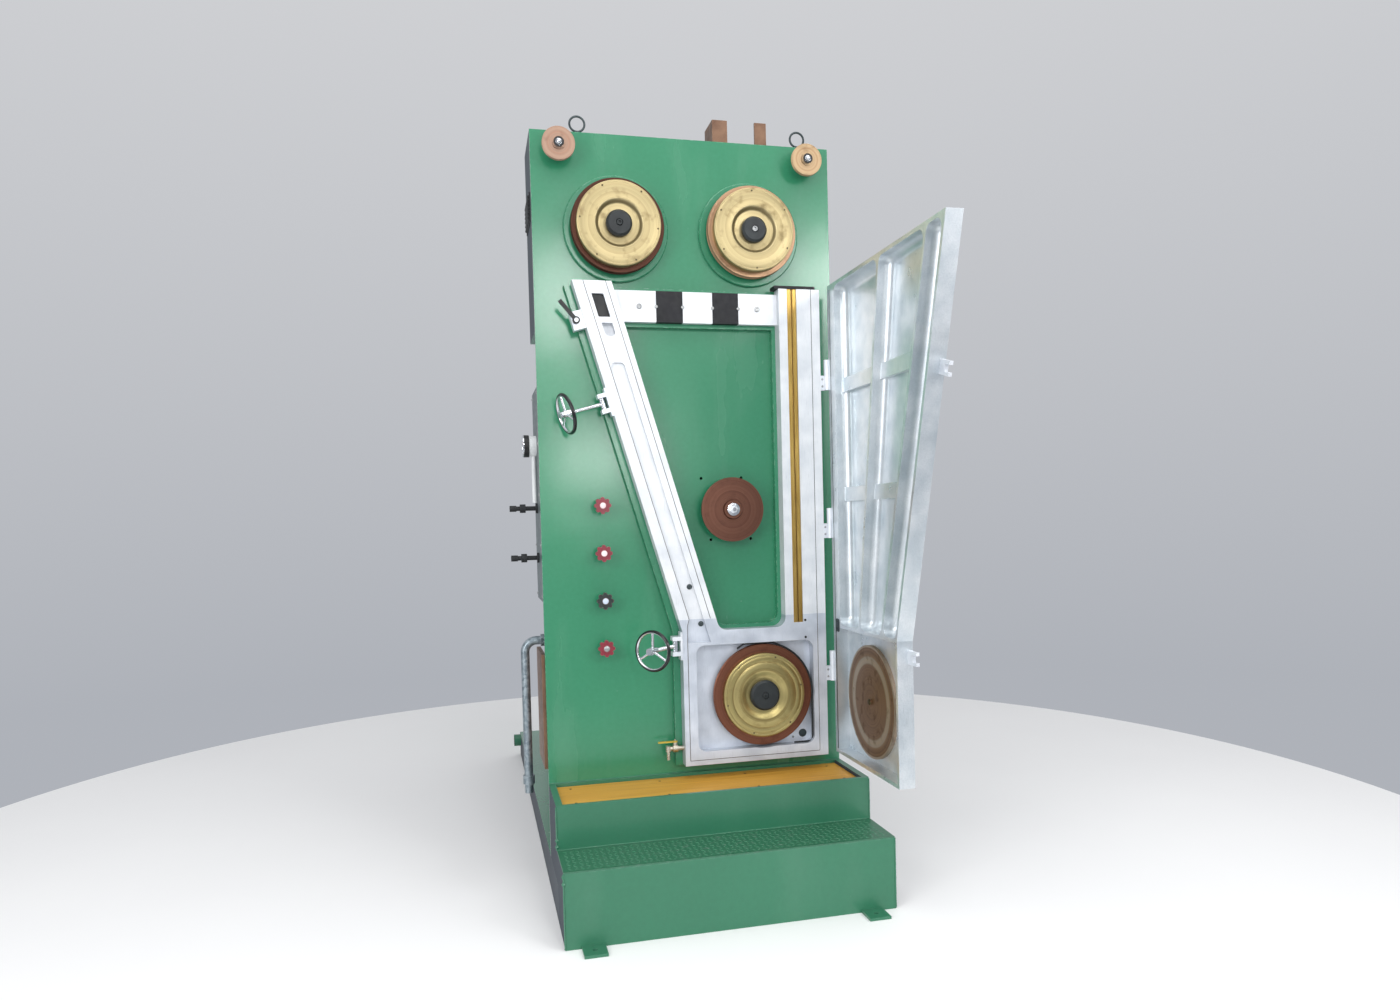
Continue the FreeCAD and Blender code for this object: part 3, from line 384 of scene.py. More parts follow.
# %% Small metal and dark parts
def plain_part(name, light, deep, rub, metal, rough, depth=0.0003, grain=180):
    finish = Finish(name)
    drift, prints, fine = finish.cloud(14, 5), finish.cloud(48, 7), finish.cloud(grain, 5)
    rubbed = finish.edges(0.0025) * finish.cloud(70, 4).between(0.35, 0.6)
    colour = finish.mix(drift.between(0.3, 0.7), deep, light)
    colour = finish.mix(rubbed * 0.7 + prints.between(0.62, 0.8) * 0.2, colour, rub)
    return finish.surface(colour, rough + 0.16 * prints.between(0.35, 0.7), fine, depth, metal)


PLAIN = {
    "grey_steel": ((128, 134, 138), (104, 110, 114), (176, 180, 184), 0.7, 0.36),
    "sheet_grey": ((96, 108, 110), (78, 90, 92), (150, 158, 158), 0.2, 0.34),
    "chrome": ((226, 229, 233), (196, 200, 206), (248, 249, 250), 1.0, 0.1),
    "zinc_screw": ((170, 172, 172), (132, 134, 136), (214, 214, 212), 0.9, 0.3),
    "dark_screw": ((96, 86, 62), (64, 56, 42), (150, 136, 98), 0.7, 0.4),
    "black_enamel": ((26, 28, 30), (14, 15, 17), (40, 42, 44), 0.0, 0.38, 0.0002),
    "seal_rubber": ((100, 98, 98), (76, 74, 76), (130, 128, 128), 0.0, 0.5, 0.0004, 300),
    "pale_blue": ((206, 216, 230), (176, 190, 208), (232, 238, 244), 0.0, 0.36),
    "black_rubber": ((34, 37, 40), (20, 22, 24), (66, 70, 74), 0.0, 0.55, 0.0006, 320),
    "hub_rubber": ((38, 44, 46), (22, 27, 29), (76, 84, 84), 0.0, 0.42, 0.0005, 240),
    "laminate": ((20, 21, 28), (12, 13, 18), (44, 45, 50), 0.0, 0.55, 0.0003, 260),
    "white_plastic": ((232, 234, 234), (214, 217, 218), (246, 246, 246), 0.0, 0.36, 0.0002),
    "dark_steel": ((72, 82, 84), (50, 58, 60), (130, 136, 138), 0.6, 0.4),
    "pale_fitting": ((208, 202, 188), (170, 162, 146), (236, 232, 222), 0.9, 0.24),
    "yellow_paint": ((196, 170, 52), (160, 134, 36), (226, 206, 110), 0.0, 0.35),
    "silver_paint": ((232, 235, 240), (204, 210, 218), (250, 250, 252), 0.4, 0.34, 0.0006),
    "primer_white": ((244, 222, 222), (222, 190, 192), (252, 244, 244), 0.0, 0.4),
}
for name, settings in PLAIN.items():
    keep(plain_part, name, *settings)

# %% [markdown]
# ## Turned copper and brass
#
# The wheels are faced on a lathe. The tool leaves rings too fine to count, and light spreads across
# them. Noise along the distance from the axle gives rings in colour and relief. Handling leaves brown
# tarnish in soft spots.

# %% Turned metal
def turned_metal(name, centre, axis, light, deep, tarnish, rough=0.27, bands=(), spots=0.35):
    """Rings about an axis through centre; bands are (radius, half width, colour, share) of extra rings."""
    finish = Finish(name)
    x, y, z = finish.parts(centre)
    first, second, along = {"Y": (x, z, y), "X": (y, z, x)}[axis]
    radius = (first * first + second * second) ** 0.5
    track = radius + along * 1.3
    fine = finish.node("TexNoise", {"noise_dimensions": "1D"}, {"W": track, "Scale": 700.0, "Detail": 3.0})
    broad = finish.node("TexNoise", {"noise_dimensions": "1D"}, {"W": track, "Scale": 90.0, "Detail": 2.0})
    colour = finish.mix((fine * 0.45 + broad * 0.55).between(0.34, 0.66), deep, light)
    for ring, half, shade, share in bands:
        begun = radius.between(ring - half, ring - half * 0.6)
        ended = radius.between(ring + half * 0.6, ring + half)
        colour = finish.mix(begun * (1 - ended) * share, colour, shade)
    stained = finish.cloud(26, 8).between(0.54, 0.76)
    colour = finish.mix(stained * spots, colour, tarnish)
    colour = finish.mix(finish.cloud(120, 3).between(0.7, 0.76) * 0.25, colour, tarnish)
    bright = finish.edges(0.002)
    colour = finish.mix(bright * 0.35, colour, light)
    return finish.surface(colour, rough + 0.22 * stained + 0.08 * broad, fine * 0.7 + broad * 0.3, 0.00005,
                          0.92)


def hub_of(joint):
    """Point on a joint's axis, from the record."""
    return tuple(joints[joint]["pos_m"])


PALE_BRASS = ((186, 171, 130), (160, 144, 106), (112, 94, 64))
TURNED = {
    "brass_left": ("left_wheel_turn", *PALE_BRASS, 0.38, (), 0.6),
    "brass_right": ("right_wheel_turn", *PALE_BRASS, 0.38, (), 0.6),
    "brass_lower": ("lower_wheel_turn", (182, 168, 116), (156, 141, 92), (100, 84, 54), 0.27,
                    ((0.132, 0.003, (120, 96, 56), 0.35), (0.100, 0.003, (120, 92, 50), 0.3))),
    # The two contact rims are the same copper: the left rim's tones are painted darker, as painted shade, and
    # the right rim's paler, as painted light.
    "copper_left": ("left_wheel_turn", (88, 60, 50), (62, 42, 37), (44, 35, 34), 0.34),
    "copper_right": ("right_wheel_turn", (176, 144, 116), (146, 116, 92), (106, 82, 66), 0.36),
    "copper_lower": ("lower_wheel_turn", (132, 88, 70), (102, 66, 54), (66, 46, 40), 0.34),
    "copper_idler": ("idler_turn", (122, 86, 72), (96, 66, 56), (68, 52, 48), 0.3, (), 0.3),
    "pulley_pink": ("left_pulley_turn", (170, 142, 124), (146, 118, 102), (124, 98, 86), 0.42,
                    ((0.040, 0.003, (156, 112, 92), 0.4),)),
    "pulley_tan": ("right_pulley_turn", (184, 160, 128), (158, 132, 102), (130, 104, 80), 0.42,
                   ((0.044, 0.003, (154, 118, 88), 0.4),)),
}
for name, (joint, *settings) in TURNED.items():
    keep(turned_metal, name, hub_of(joint), "Y", *settings)

disc_low, disc_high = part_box("door_disc")
disc_centre = tuple((disc_low + disc_high) / 2)
keep(turned_metal, "copper_door", disc_centre, "X", (158, 128, 102), (124, 98, 78), (86, 70, 60), 0.38,
     ((0.158, 0.018, (206, 196, 176), 0.6), (0.210, 0.005, (214, 206, 190), 0.5)), 0.6)
keep(plain_part, "copper_bar", (134, 104, 84), (102, 76, 62), (178, 146, 120), 0.6, 0.38)


# %% Drawn brass
def drawn_brass(name, line_x):
    """Brass drawn through a die along Z: streaks run lengthwise, and one dark line, sunk a little, runs down
    its middle.
    """
    finish = Finish(name)
    streak, spot = finish.cloud(60, 6, (8, 8, 0.12)), finish.cloud(7, 6, (1, 1, 0.6))
    across, _, _ = finish.parts((line_x, 0, 0))
    # One dark line down the middle: darker colour and a slight dip in relief.
    dark_centre_line = 1 - (across * across).between(0.0000012, 0.0000045)
    colour = finish.mix((streak * 0.6 + spot * 0.4).between(0.36, 0.64), (150, 116, 58), (206, 172, 98))
    colour = finish.mix(dark_centre_line * 0.75, colour, (78, 56, 34))
    colour = finish.mix(finish.edges(0.002) * 0.4, colour, (232, 210, 150))
    return finish.surface(colour, 0.26 + 0.2 * spot, streak - dark_centre_line * 0.8, 0.0004, 0.9)


guide_low, guide_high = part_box("wire_guide")
keep(drawn_brass, "drawn_brass", (guide_low.x + guide_high.x) / 2)


# %% Handwheel
def hand_wheel(name, joint, rim_from):
    """Chrome hub and spokes inside a distance from the joint's axis, black enamel rim outside it."""
    finish = Finish(name)
    arm, axis = finish.offset(hub_of(joint)), tuple(joints[joint]["axis"])
    swept = finish.node("VectorMath", {"operation": "CROSS_PRODUCT"}, {0: arm, 1: axis})
    away = finish.node("VectorMath", {"operation": "LENGTH"}, {0: swept}, "Value")
    rim, prints = away.between(rim_from, rim_from + 0.001), finish.cloud(60, 6)
    colour = finish.mix(rim, finish.mix(prints, (196, 200, 206), (232, 235, 238)), (24, 26, 28))
    return finish.surface(colour, 0.12 + 0.14 * prints, finish.cloud(200, 4), 0.0002, 1 - rim)


for side in ("upper", "lower"):
    keep(hand_wheel, f"hand_wheel_{side}", f"{side}_handwheel_turn", 0.070)

# %% [markdown]
# ## Galvanised pipe and moulded knobs
#
# Zinc freezes on the pipe in flat crystals that catch light differently, so a Voronoi pattern gives
# each crystal its own grey. The knobs are moulded in dark red or black resin with a polished skin.

# %% Zinc and resin
def galvanised(name):
    finish = Finish(name)
    spangle = finish.node("TexVoronoi", None, {"Vector": finish.place, "Scale": 85.0}, "Color")
    crystal = finish.node("SeparateXYZ", None, {0: spangle})
    weather = finish.cloud(9, 7)
    colour = finish.mix(crystal * 0.55 + weather * 0.3, (104, 116, 124), (176, 188, 194))
    colour = finish.mix(finish.edges(0.003) * 0.4, colour, (214, 220, 222))
    return finish.surface(colour, 0.3 + 0.22 * crystal, crystal * 0.4 + finish.cloud(200), 0.0004, 0.75)


def moulded(name, light, deep):
    finish = Finish(name)
    flow, rubbed = finish.cloud(40, 5), finish.edges(0.002)
    colour = finish.mix(flow, deep, light)
    colour = finish.mix(rubbed * 0.4, colour, (214, 150, 150))
    return finish.surface(colour, 0.24 + 0.2 * flow, finish.cloud(260), 0.0002, Coat_Weight=0.3)


keep(galvanised, "galvanised_zinc")
keep(moulded, "red_resin", (142, 48, 60), (104, 28, 42))
keep(moulded, "black_resin", (44, 50, 48), (22, 28, 28))

# %% [markdown]
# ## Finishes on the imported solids
#
# Each solid whose shape is right keeps its mesh and takes one of the finishes above.

# %% Dress the solids
SOLIDS = {
    "green_enamel": ("front_plate", "housing_pad", "bearing_flanges"),
    "green_and_slate": ("upper_housing", "rear_housing", "base_plinth"),
    "step_enamel": ("anchor_tabs",),
    "step_and_slate": ("deck_box", "step_box", "lifting_stubs"),
    "tread_paint": ("tread_plate",),
    "ochre_wood": ("foot_board",),
    "housing_aluminium": ("housing_leg", "housing_column", "cross_bar"),
    "box_aluminium": ("water_box",),
    "door_aluminium": ("door_shell", "door_ribs"),
    "silver_paint": ("clamp_brackets", "door_lugs", "door_hinges", "hinge_bases"),
    "laminate": ("insulator_blocks", "column_cap"),
    "pale_fitting": ("drain_tap",),
    "drawn_brass": ("wire_guide",),
    "yellow_paint": ("tap_lever",),
    "chrome": ("swing_bolt_upper", "swing_bolt_lower", "wheel_studs"),
    "hand_wheel_upper": ("handwheel_upper",),
    "hand_wheel_lower": ("handwheel_lower",),
    "black_enamel": ("latch_lever", "pressure_gauge", "side_vent"),
    "hub_rubber": ("contact_wheel_left_shaft", "contact_wheel_right_shaft", "lower_wheel_shaft"),
    "copper_left": ("contact_wheel_left_rim",),
    "copper_right": ("contact_wheel_right_rim",),
    "copper_lower": ("lower_wheel_rim",),
    "brass_lower": ("lower_wheel_face",),
    "brass_left": ("contact_wheel_left_face",),
    "brass_right": ("contact_wheel_right_face",),
    "copper_idler": ("idler_wheel",),
    "pulley_pink": ("guide_pulley_left",),
    "pulley_tan": ("guide_pulley_right",),
    "copper_door": ("door_disc",),
    "copper_bar": ("bus_bars", "side_bus_bar"),
    "dark_steel": ("lifting_eyes",),
    "sheet_grey": ("side_panel",),
    "white_plastic": ("gauge_body",),
    "black_rubber": ("hose_valves",),
    "galvanised_zinc": ("overflow_pipe",),
    "red_resin": ("valve_knob_1", "valve_knob_3", "valve_knob_4"),
    "black_resin": ("valve_knob_2",),
}


def dress(node, material):
    """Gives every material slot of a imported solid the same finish."""
    solid = frame["nodes"][node]
    if not solid.material_slots:
        solid.data.materials.append(material)
    for material_slot in solid.material_slots:
        material_slot.material = material


for finish_name, dressed in SOLIDS.items():
    for node in dressed:
        dress(node, finishes[finish_name])
print("solids without a finish:",
      sorted(set(frame["nodes"]) - {n for group in SOLIDS.values() for n in group}))

# %% [markdown]
# ## Making surfaces from arrays
#
# A new piece is a grid of points worked out in whole arrays. A turned part is a profile of radius and
# height carried round an axis; a bead or cord is a circle carried along a path; a repeated screw is
# one grid copied to many places. The same few functions serve them all.


# %% Grids, faces and meshes
def grid_faces(rows, columns, ring=False):
    """Quads between neighbours on a grid numbered row by row; columns close, and rows too if ring."""
    row = np.arange(rows if ring else rows - 1)[:, None]
    column, after = np.arange(columns)[None, :], (np.arange(columns)[None, :] + 1) % columns
    corners = (row * columns + column, row * columns + after, (row + 1) % rows * columns + after,
               (row + 1) % rows * columns + column)
    return np.stack(corners, -1).reshape(-1, 4)


def basis(axis):
    """Rows are three unit vectors at right angles; the last lies along axis."""
    along = np.array(axis, float) / np.linalg.norm(axis)
    start = np.array((0.0, 0.0, 1.0) if abs(along[2]) < 0.9 else (1.0, 0.0, 0.0))
    side = np.cross(start, along)
    side /= np.linalg.norm(side)
    return np.stack([side, np.cross(along, side), along])


def make_piece(name, grids, finish_name, body="machine", slot=None, ring=False, crease=32):
    """One mesh from grids of points: doubles merged, faces turned outward, smooth but for sharp creases."""
    count, rows, columns = grids.shape[:3]
    faces = grid_faces(rows, columns, ring)
    faces = (faces[None] + (np.arange(count) * rows * columns)[:, None, None]).reshape(-1, 4)
    mesh = bpy.data.meshes.new(name)
    mesh.from_pydata(grids.reshape(-1, 3).tolist(), [], faces.tolist())
    shape = bmesh.new()
    shape.from_mesh(mesh)
    bmesh.ops.remove_doubles(shape, verts=shape.verts, dist=2e-6)
    bmesh.ops.recalc_face_normals(shape, faces=shape.faces)
    shape.to_mesh(mesh)
    shape.free()
    mesh.polygons.foreach_set("use_smooth", np.ones(len(mesh.polygons), bool))
    mesh.set_sharp_from_angle(angle=math.radians(crease))
    mesh.materials.append(finishes[finish_name])
    piece = bpy.data.objects.new(name, mesh)
    bpy.context.scene.collection.objects.link(piece)
    if body:
        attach(piece, body)
    print(name, "on", body or "the ground", "-", len(mesh.polygons), "faces")
    return piece


# %% Turned and copied shapes
def lathe(profile, around=32):
    """Each (radius r, height h) of the profile goes round the axis: (r cos a, r sin a, h)."""
    profile = np.array(profile, float)
    angle = np.linspace(0, 2 * np.pi, around, endpoint=False)
    radius, height = profile[:, :1], profile[:, 1:]
    return np.stack([radius * np.cos(angle), radius * np.sin(angle), height + 0 * angle], -1)


def stand(points, places, axis, turns=0.0):
    """Copies of a shape about local Z, turned about it, stood along axis at each place: place + R(turn) p."""
    places = np.array(places, float).reshape(-1, 3)
    turns = np.broadcast_to(turns, len(places))
    cos, sin = np.cos(turns)[:, None, None], np.sin(turns)[:, None, None]
    x, y, z = points[None, ..., 0], points[None, ..., 1], points[None, ..., 2]
    spun = np.stack([x * cos - y * sin, x * sin + y * cos, z + 0 * cos], -1)
    return spun @ basis(axis) + places[:, None, None, :]


def round_ring(count, radius, start, centre, axis):
    """Places evenly round a circle about an axis: centre + radius (cos a, sin a)."""
    angle = start + np.arange(count) * 2 * np.pi / count
    flat = np.stack([radius * np.cos(angle), radius * np.sin(angle), 0 * angle], -1)
    return flat @ basis(axis) + np.array(centre)


def sweep(path, radius, normal, around=12):
    """Circle of a radius, which may vary, carried along a path in one plane; its ends are drawn shut."""
    path, normal = np.array(path, float), np.array(normal, float)
    radius = np.broadcast_to(radius, len(path)).copy()
    ahead = np.gradient(path, axis=0)
    ahead /= np.linalg.norm(ahead, axis=1, keepdims=True)
    side = np.cross(normal, ahead)
    angle = np.linspace(0, 2 * np.pi, around, endpoint=False)[None, :, None]
    ringed = path[:, None] + radius[:, None, None] * (np.cos(angle) * side[:, None] + np.sin(angle) * normal)
    ends = [np.repeat(point[None, None], around, 1) for point in (path[0], path[-1])]
    return np.concatenate([ends[0], ringed, ends[1]])[None]


def rounded_path(corners, radius):
    """Corners of a path cut back by radius and bridged with arcs: a quadratic curve from side to side."""
    corners = np.array(corners, float)
    before, middle, after = corners[:-2], corners[1:-1], corners[2:]
    inward = middle - before
    outward = after - middle
    start = middle - radius * inward / np.linalg.norm(inward, axis=1, keepdims=True)
    end = middle + radius * outward / np.linalg.norm(outward, axis=1, keepdims=True)
    t = np.linspace(0, 1, 6)[None, :, None]
    arcs = (1 - t) ** 2 * start[:, None] + 2 * t * (1 - t) * middle[:, None] + t ** 2 * end[:, None]
    return np.concatenate([corners[:1], arcs.reshape(-1, corners.shape[1]), corners[-1:]])


def socket_screw(radius, height):
    """Round head with a chamfer and a round socket sunk in it."""
    socket = [(0, 0.35 * height), (0.42 * radius, 0.35 * height), (0.48 * radius, height)]
    head = [(0.82 * radius, height), (radius, 0.75 * height), (radius, -0.0005), (0, -0.0005)]
    return lathe(socket + head, 20)


def hex_head(radius, height):
    """Six flats with a chamfered top, on a thin round washer."""
    return lathe([(0, height), (0.78 * radius, height), (radius, 0.82 * height), (radius, 0.2 * height),
                  (1.25 * radius, 0.18 * height), (1.3 * radius, 0), (0, 0)], 6)


def fit(name, shape, places, finish_name, body="machine", axis=OUT, **more):
    """A piece made of one shape, stood along an axis at each place."""
    return make_piece(name, stand(shape, places, axis), finish_name, body, **more)


# %% [markdown]
# ## Contact wheels
#
# Brass faces are held to the copper rims with six small screws. Turned grooves mark where the tool
# changed depth. Because those show as real lines, the faces and rims are turned again here with more
# detail than the solids carry, and stand in for them.

# %% Wheel profiles
BORE, WORN = 0.0301, 0.005


def span(node):
    """Radius, back and front distance out from the plate of a wheel part."""
    low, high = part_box(node)
    return (high.x - low.x) / 2, -high.y, -low.y


def grooves(radii, level, depth=0.0005, half=0.0011):
    """(radius, out) points of V grooves cut at the radii into a flat face, from the rim inwards."""
    radius = np.array(radii, float)[:, None] + np.array([half, 0, -half])
    out = level - np.array([0, depth, 0]) + 0 * radius
    return np.stack([radius, out], -1).reshape(-1, 2).tolist()


def wheel_face(node, dish, slope, lines):
    """Brass face: bore, back, chamfered rim, grooved ring, an S-shaped slope down to a flat floor."""
    radius, back, front = span(node)
    floor = back + (front - back) / 2
    share = np.linspace(0, 1, 9)
    down = np.stack([dish - slope * share, front + (floor - front) * share ** 2 * (3 - 2 * share)], -1)
    return [(BORE, back), (radius - 0.001, back), (radius, back + 0.001), (radius, front - 0.004),
            (radius - 0.0008, front - 0.0018), (radius - 0.004, front), *grooves(lines, front),
            *down.tolist(), (BORE, floor)]


def wheel_rim(node):
    """Copper rim: chamfered edges and a wire groove of the worn depth round its middle."""
    radius, back, front = span(node)
    thick = front - back
    return [(BORE, back), (radius - 0.0015, back), (radius, back + 0.0015), (radius, back + 0.22 * thick),
            (radius - WORN * 0.6, back + 0.3 * thick), (radius - WORN, back + 0.42 * thick),
            (radius - WORN, back + 0.66 * thick), (radius - WORN * 0.6, back + 0.78 * thick),
            (radius, back + 0.86 * thick), (radius, front - 0.0015), (radius - 0.0015, front), (BORE, front)]


def turned_ring(name, profile, joint, body, finish_name, node):
    """A closed profile turned about a joint's axis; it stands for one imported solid."""
    x, _, z = hub_of(joint)
    piece = fit(name, lathe(profile, 128), (x, 0, z), finish_name, body, ring=True)
    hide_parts(node)


# %% Turn the six wheel parts
WHEELS = {
    "contact_wheel_left": ("left_wheel_turn", "wheel_left", "brass_left", "copper_left", 0.094, 0.018,
                           (0.152,), -6),
    "contact_wheel_right": ("right_wheel_turn", "wheel_right", "brass_right", "copper_right", 0.094, 0.018,
                            (0.152,), 33),
    "lower_wheel": ("lower_wheel_turn", "wheel_low", "brass_lower", "copper_lower", 0.102, 0.034,
                    (0.154, 0.131), 12),
}
for wheel, (joint, body, brass, copper, dish, slope, lines, first) in WHEELS.items():
    turned_ring(f"{wheel}_brass", wheel_face(f"{wheel}_face", dish, slope, lines), joint, body, brass,
                f"{wheel}_face")
    turned_ring(f"{wheel}_copper", wheel_rim(f"{wheel}_rim"), joint, body, copper, f"{wheel}_rim")
    radius, back, front = span(f"{wheel}_face")
    x, _, z = hub_of(joint)
    seats = round_ring(6, radius - 0.012, math.radians(first), (x, -front, z), OUT)
    fit(f"{wheel}_screws", socket_screw(0.0036, 0.0012), seats, "dark_screw", body)
    hub_front = -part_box(f"{wheel}_shaft")[0].y
    bolt = lathe([(0, 0.002), (0.005, 0.002), (0.0058, 0.0072), (0.0095, 0.0072), (0.011, 0.0058), (0.011, 0),
                  (0, 0)])
    fit(f"{wheel}_hub_bolt", bolt, (x, -hub_front + 0.0042, z),
        "zinc_screw" if wheel.endswith("right") else "hub_rubber", body)

# %% [markdown]
# ## Nuts, caps and knob centres
#
# A polished dome closes each guide pulley's stud, a thin nut and the end of its stud hold the idler,
# and a pale button is pressed into each valve knob. All are small turned shapes, so each is one
# profile. The buttons ride on the knobs' own bodies and turn with them.

# %% Domes, nuts and buttons
def front_of(node):
    """How far a solid stands out in front of the plate."""
    return -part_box(node)[0].y


dome_angle = np.linspace(0, np.pi / 2, 9)
dome = np.stack([0.0108 * np.sin(dome_angle), 0.0095 * np.cos(dome_angle)], -1)
dome_nut = lathe([*dome.tolist(), (0.0118, -0.001), (0, -0.001)], 28)
STUD_REACH = 0.0092
stud_front = front_of("guide_pulley_left") + STUD_REACH
pulley_hubs = [(hub_of(f"{side}_pulley_turn")[0], -stud_front, hub_of(f"{side}_pulley_turn")[2])
               for side in ("left", "right")]
fit("stud_domes", dome_nut, pulley_hubs, "chrome")
collar = lathe([(0.0115, 0.0002), (0.0115, -0.003), (0.019, -0.003), (0.0196, -0.0012), (0.019, 0.0002)], 32)
fit("stud_collars", collar, pulley_hubs, "black_enamel", ring=True)

idler_x, _, idler_z = hub_of("idler_turn")
idler_front = front_of("idler_wheel") + STUD_REACH
idler_nut = stand(hex_head(0.0125, 0.007), (idler_x, -idler_front, idler_z), OUT, 0.3)
make_piece("idler_nut", idler_nut, "silver_paint")
stub_end = lathe([(0, 0.0115), (0.0062, 0.0115), (0.0072, 0.0102), (0.0072, 0.006), (0, 0.006)], 20)
fit("idler_stub", stub_end, (idler_x, -idler_front, idler_z), "chrome")

button = lathe([(0, 0.0030), (0.0045, 0.0028), (0.0085, 0.0020), (0.0112, 0.0006), (0.0118, -0.0006),
                (0, -0.0006)], 28)
for number, shade in enumerate(("zinc_screw", "pale_blue", "primer_white", "primer_white"), start=1):
    x, _, z = hub_of(f"valve_{number}_turn")
    fit(f"knob_{number}_button", button, (x, -front_of(f"valve_knob_{number}"), z), shade, f"knob_{number}",
        slot="white_plastic")

# %% [markdown]
# ## Screws and pins
#
# Screws say how a thing is put together. One screw is a turned shape, and a row of them is the same
# grid at many places, so they stay light. Pins tie the insulating blocks to the bar's pieces; bolts
# hold the bar; small screws hold hinges, board, panel and the plugs of the leg.

# %% Bar, blocks and hinges
blocks_low, blocks_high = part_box("insulator_blocks")
bar_middle = (blocks_low.z + blocks_high.z) / 2
BLOCK_WIDE = 0.105
pin_at = np.array([blocks_low.x, blocks_low.x + BLOCK_WIDE, blocks_high.x - BLOCK_WIDE, blocks_high.x])
pins = np.stack([pin_at, np.full(4, blocks_low.y + 0.0008), np.full(4, bar_middle)], -1)
fit("block_pins", socket_screw(0.0062, 0.0028), pins, "zinc_screw")

bar_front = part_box("cross_bar")[0].y
bar_bolts = [(x, bar_front, bar_middle) for x in (-0.204, 0.270)]
fit("bar_bolts", socket_screw(0.0105, 0.0032), bar_bolts, "zinc_screw")

leaf_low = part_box("hinge_bases")[0]
hinge_heights = (0.830, 1.407, 2.000)
leaf_screws = [(leaf_low.x + 0.0065, leaf_low.y + 0.018, z - drop)
               for z in hinge_heights for drop in (0.016, 0.044)]
fit("hinge_screws", socket_screw(0.0042, 0.0018), leaf_screws, "zinc_screw")

# %% Board, panel, leg and box
board_low, board_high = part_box("foot_board")
board_x = np.linspace(board_low.x + 0.05, board_high.x - 0.05, 4)
board_rows = (board_low.y + 0.04, board_high.y - 0.04)
board_screws = [(x, y, board_high.z) for x in board_x for y in board_rows]
fit("board_screws", socket_screw(0.005, 0.0009), board_screws, "dark_screw", axis=UP)

panel_low, panel_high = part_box("side_panel")
panel_screws = [(panel_low.x, y, z) for y in (panel_low.y + 0.018, panel_high.y - 0.018)
                for z in np.linspace(panel_low.z + 0.02, panel_high.z - 0.02, 5)]
fit("panel_screws", hex_head(0.0055, 0.0035), panel_screws, "zinc_screw", axis=LEFT)

casting_front = front_of("housing_leg")
PLUG_SINK, BOX_FLOOR = 0.0115, -0.0330
plugs = [(x, PLUG_SINK - casting_front, z) for x, z in ((-0.0379, 1.172), (0.0049, 1.025))]
fit("leg_plugs", socket_screw(0.0108, 0.003), plugs, "dark_steel")
guide_screws = [(0.4345, -casting_front, z) for z in (1.020, 0.951)]
fit("guide_screws", socket_screw(0.0048, 0.002), guide_screws, "black_enamel")
fit("box_floor_screw", socket_screw(0.0045, 0.002), (0.388, BOX_FLOOR, 0.540), "grey_steel")
# A dark cup with a lip sits in the drain hole: its dark inside is painted shade for the hole's depth.
drain_cup = lathe([(0, -0.0062), (0.0135, -0.0062), (0.0140, 0.0012), (0.0158, 0.0018), (0.0167, 0.0006),
                   (0.0167, -0.0078), (0, -0.0078)], 36)
fit("drain_cup", drain_cup, (0.430, BOX_FLOOR, 0.553), "dark_steel")

# %% [markdown]
# ## Cords of painted shade
#
# A grey rubber cord lies in the narrow groove round the castings and darkens its line: painted shade.
# Inside the water box a black cord runs along the top, round the wheel and down the right wall, as
# painted shade along the pocket's edge. Both are a circle carried along a path in the plate's plane;
# arcs ease the corners.

# %% Groove cords and pocket cord, painted shade
LEAN, BOX_LEFT, BOX_TOP = 0.29, -0.072, 0.997


def leg_edge(z):
    """X of the slanted leg's left edge at a height: it leans by LEAN from the box's corner."""
    return BOX_LEFT - LEAN * (z - BOX_TOP)


def flat_path(points, out):
    """(x, z) points set at one distance in front of the plate."""
    points = np.array(points, float)
    return np.stack([points[:, 0], np.full(len(points), -out), points[:, 1]], -1)


leg_high, column_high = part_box("housing_leg")[1].z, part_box("housing_column")[1].z
box_low_z, column_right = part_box("water_box")[0].z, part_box("housing_column")[1].x
# Grey cords in the castings' grooves darken their lines: painted shade.
GROOVE_CORD, GROOVE_CORD_SINK, GROOVE_CORD_INSET, GROOVE_CORD_RIGHT = 0.0013, 0.0017, 0.0195, 0.0355
groove_cord_left, groove_cord_right = BOX_LEFT + GROOVE_CORD_INSET, column_right - GROOVE_CORD_RIGHT
groove_cord_foot, groove_cord_out = box_low_z + GROOVE_CORD_INSET, casting_front - GROOVE_CORD_SINK
groove_cord_corners = [(leg_edge(leg_high) + 0.0418, leg_high - 0.001), (leg_edge(1.045) + 0.0415, 1.045),
                (groove_cord_left, 1.017), (groove_cord_left, groove_cord_foot), (groove_cord_right, groove_cord_foot),
                (groove_cord_right, column_high - 0.001)]
groove_cord_line = rounded_path(flat_path(groove_cord_corners, groove_cord_out), 0.003)
make_piece("seal_cord", sweep(groove_cord_line, GROOVE_CORD, OUT, 8), "seal_rubber")
inner_groove_cord = [(leg_edge(leg_high) + 0.1278, leg_high - 0.001), (leg_edge(1.7) + 0.1275, 1.7),
              (leg_edge(1.046) + 0.1275, 1.046)]
make_piece("leg_seal_cord", sweep(flat_path(inner_groove_cord, groove_cord_out), GROOVE_CORD, OUT, 8), "seal_rubber")

low_x, _, low_z = hub_of("lower_wheel_turn")
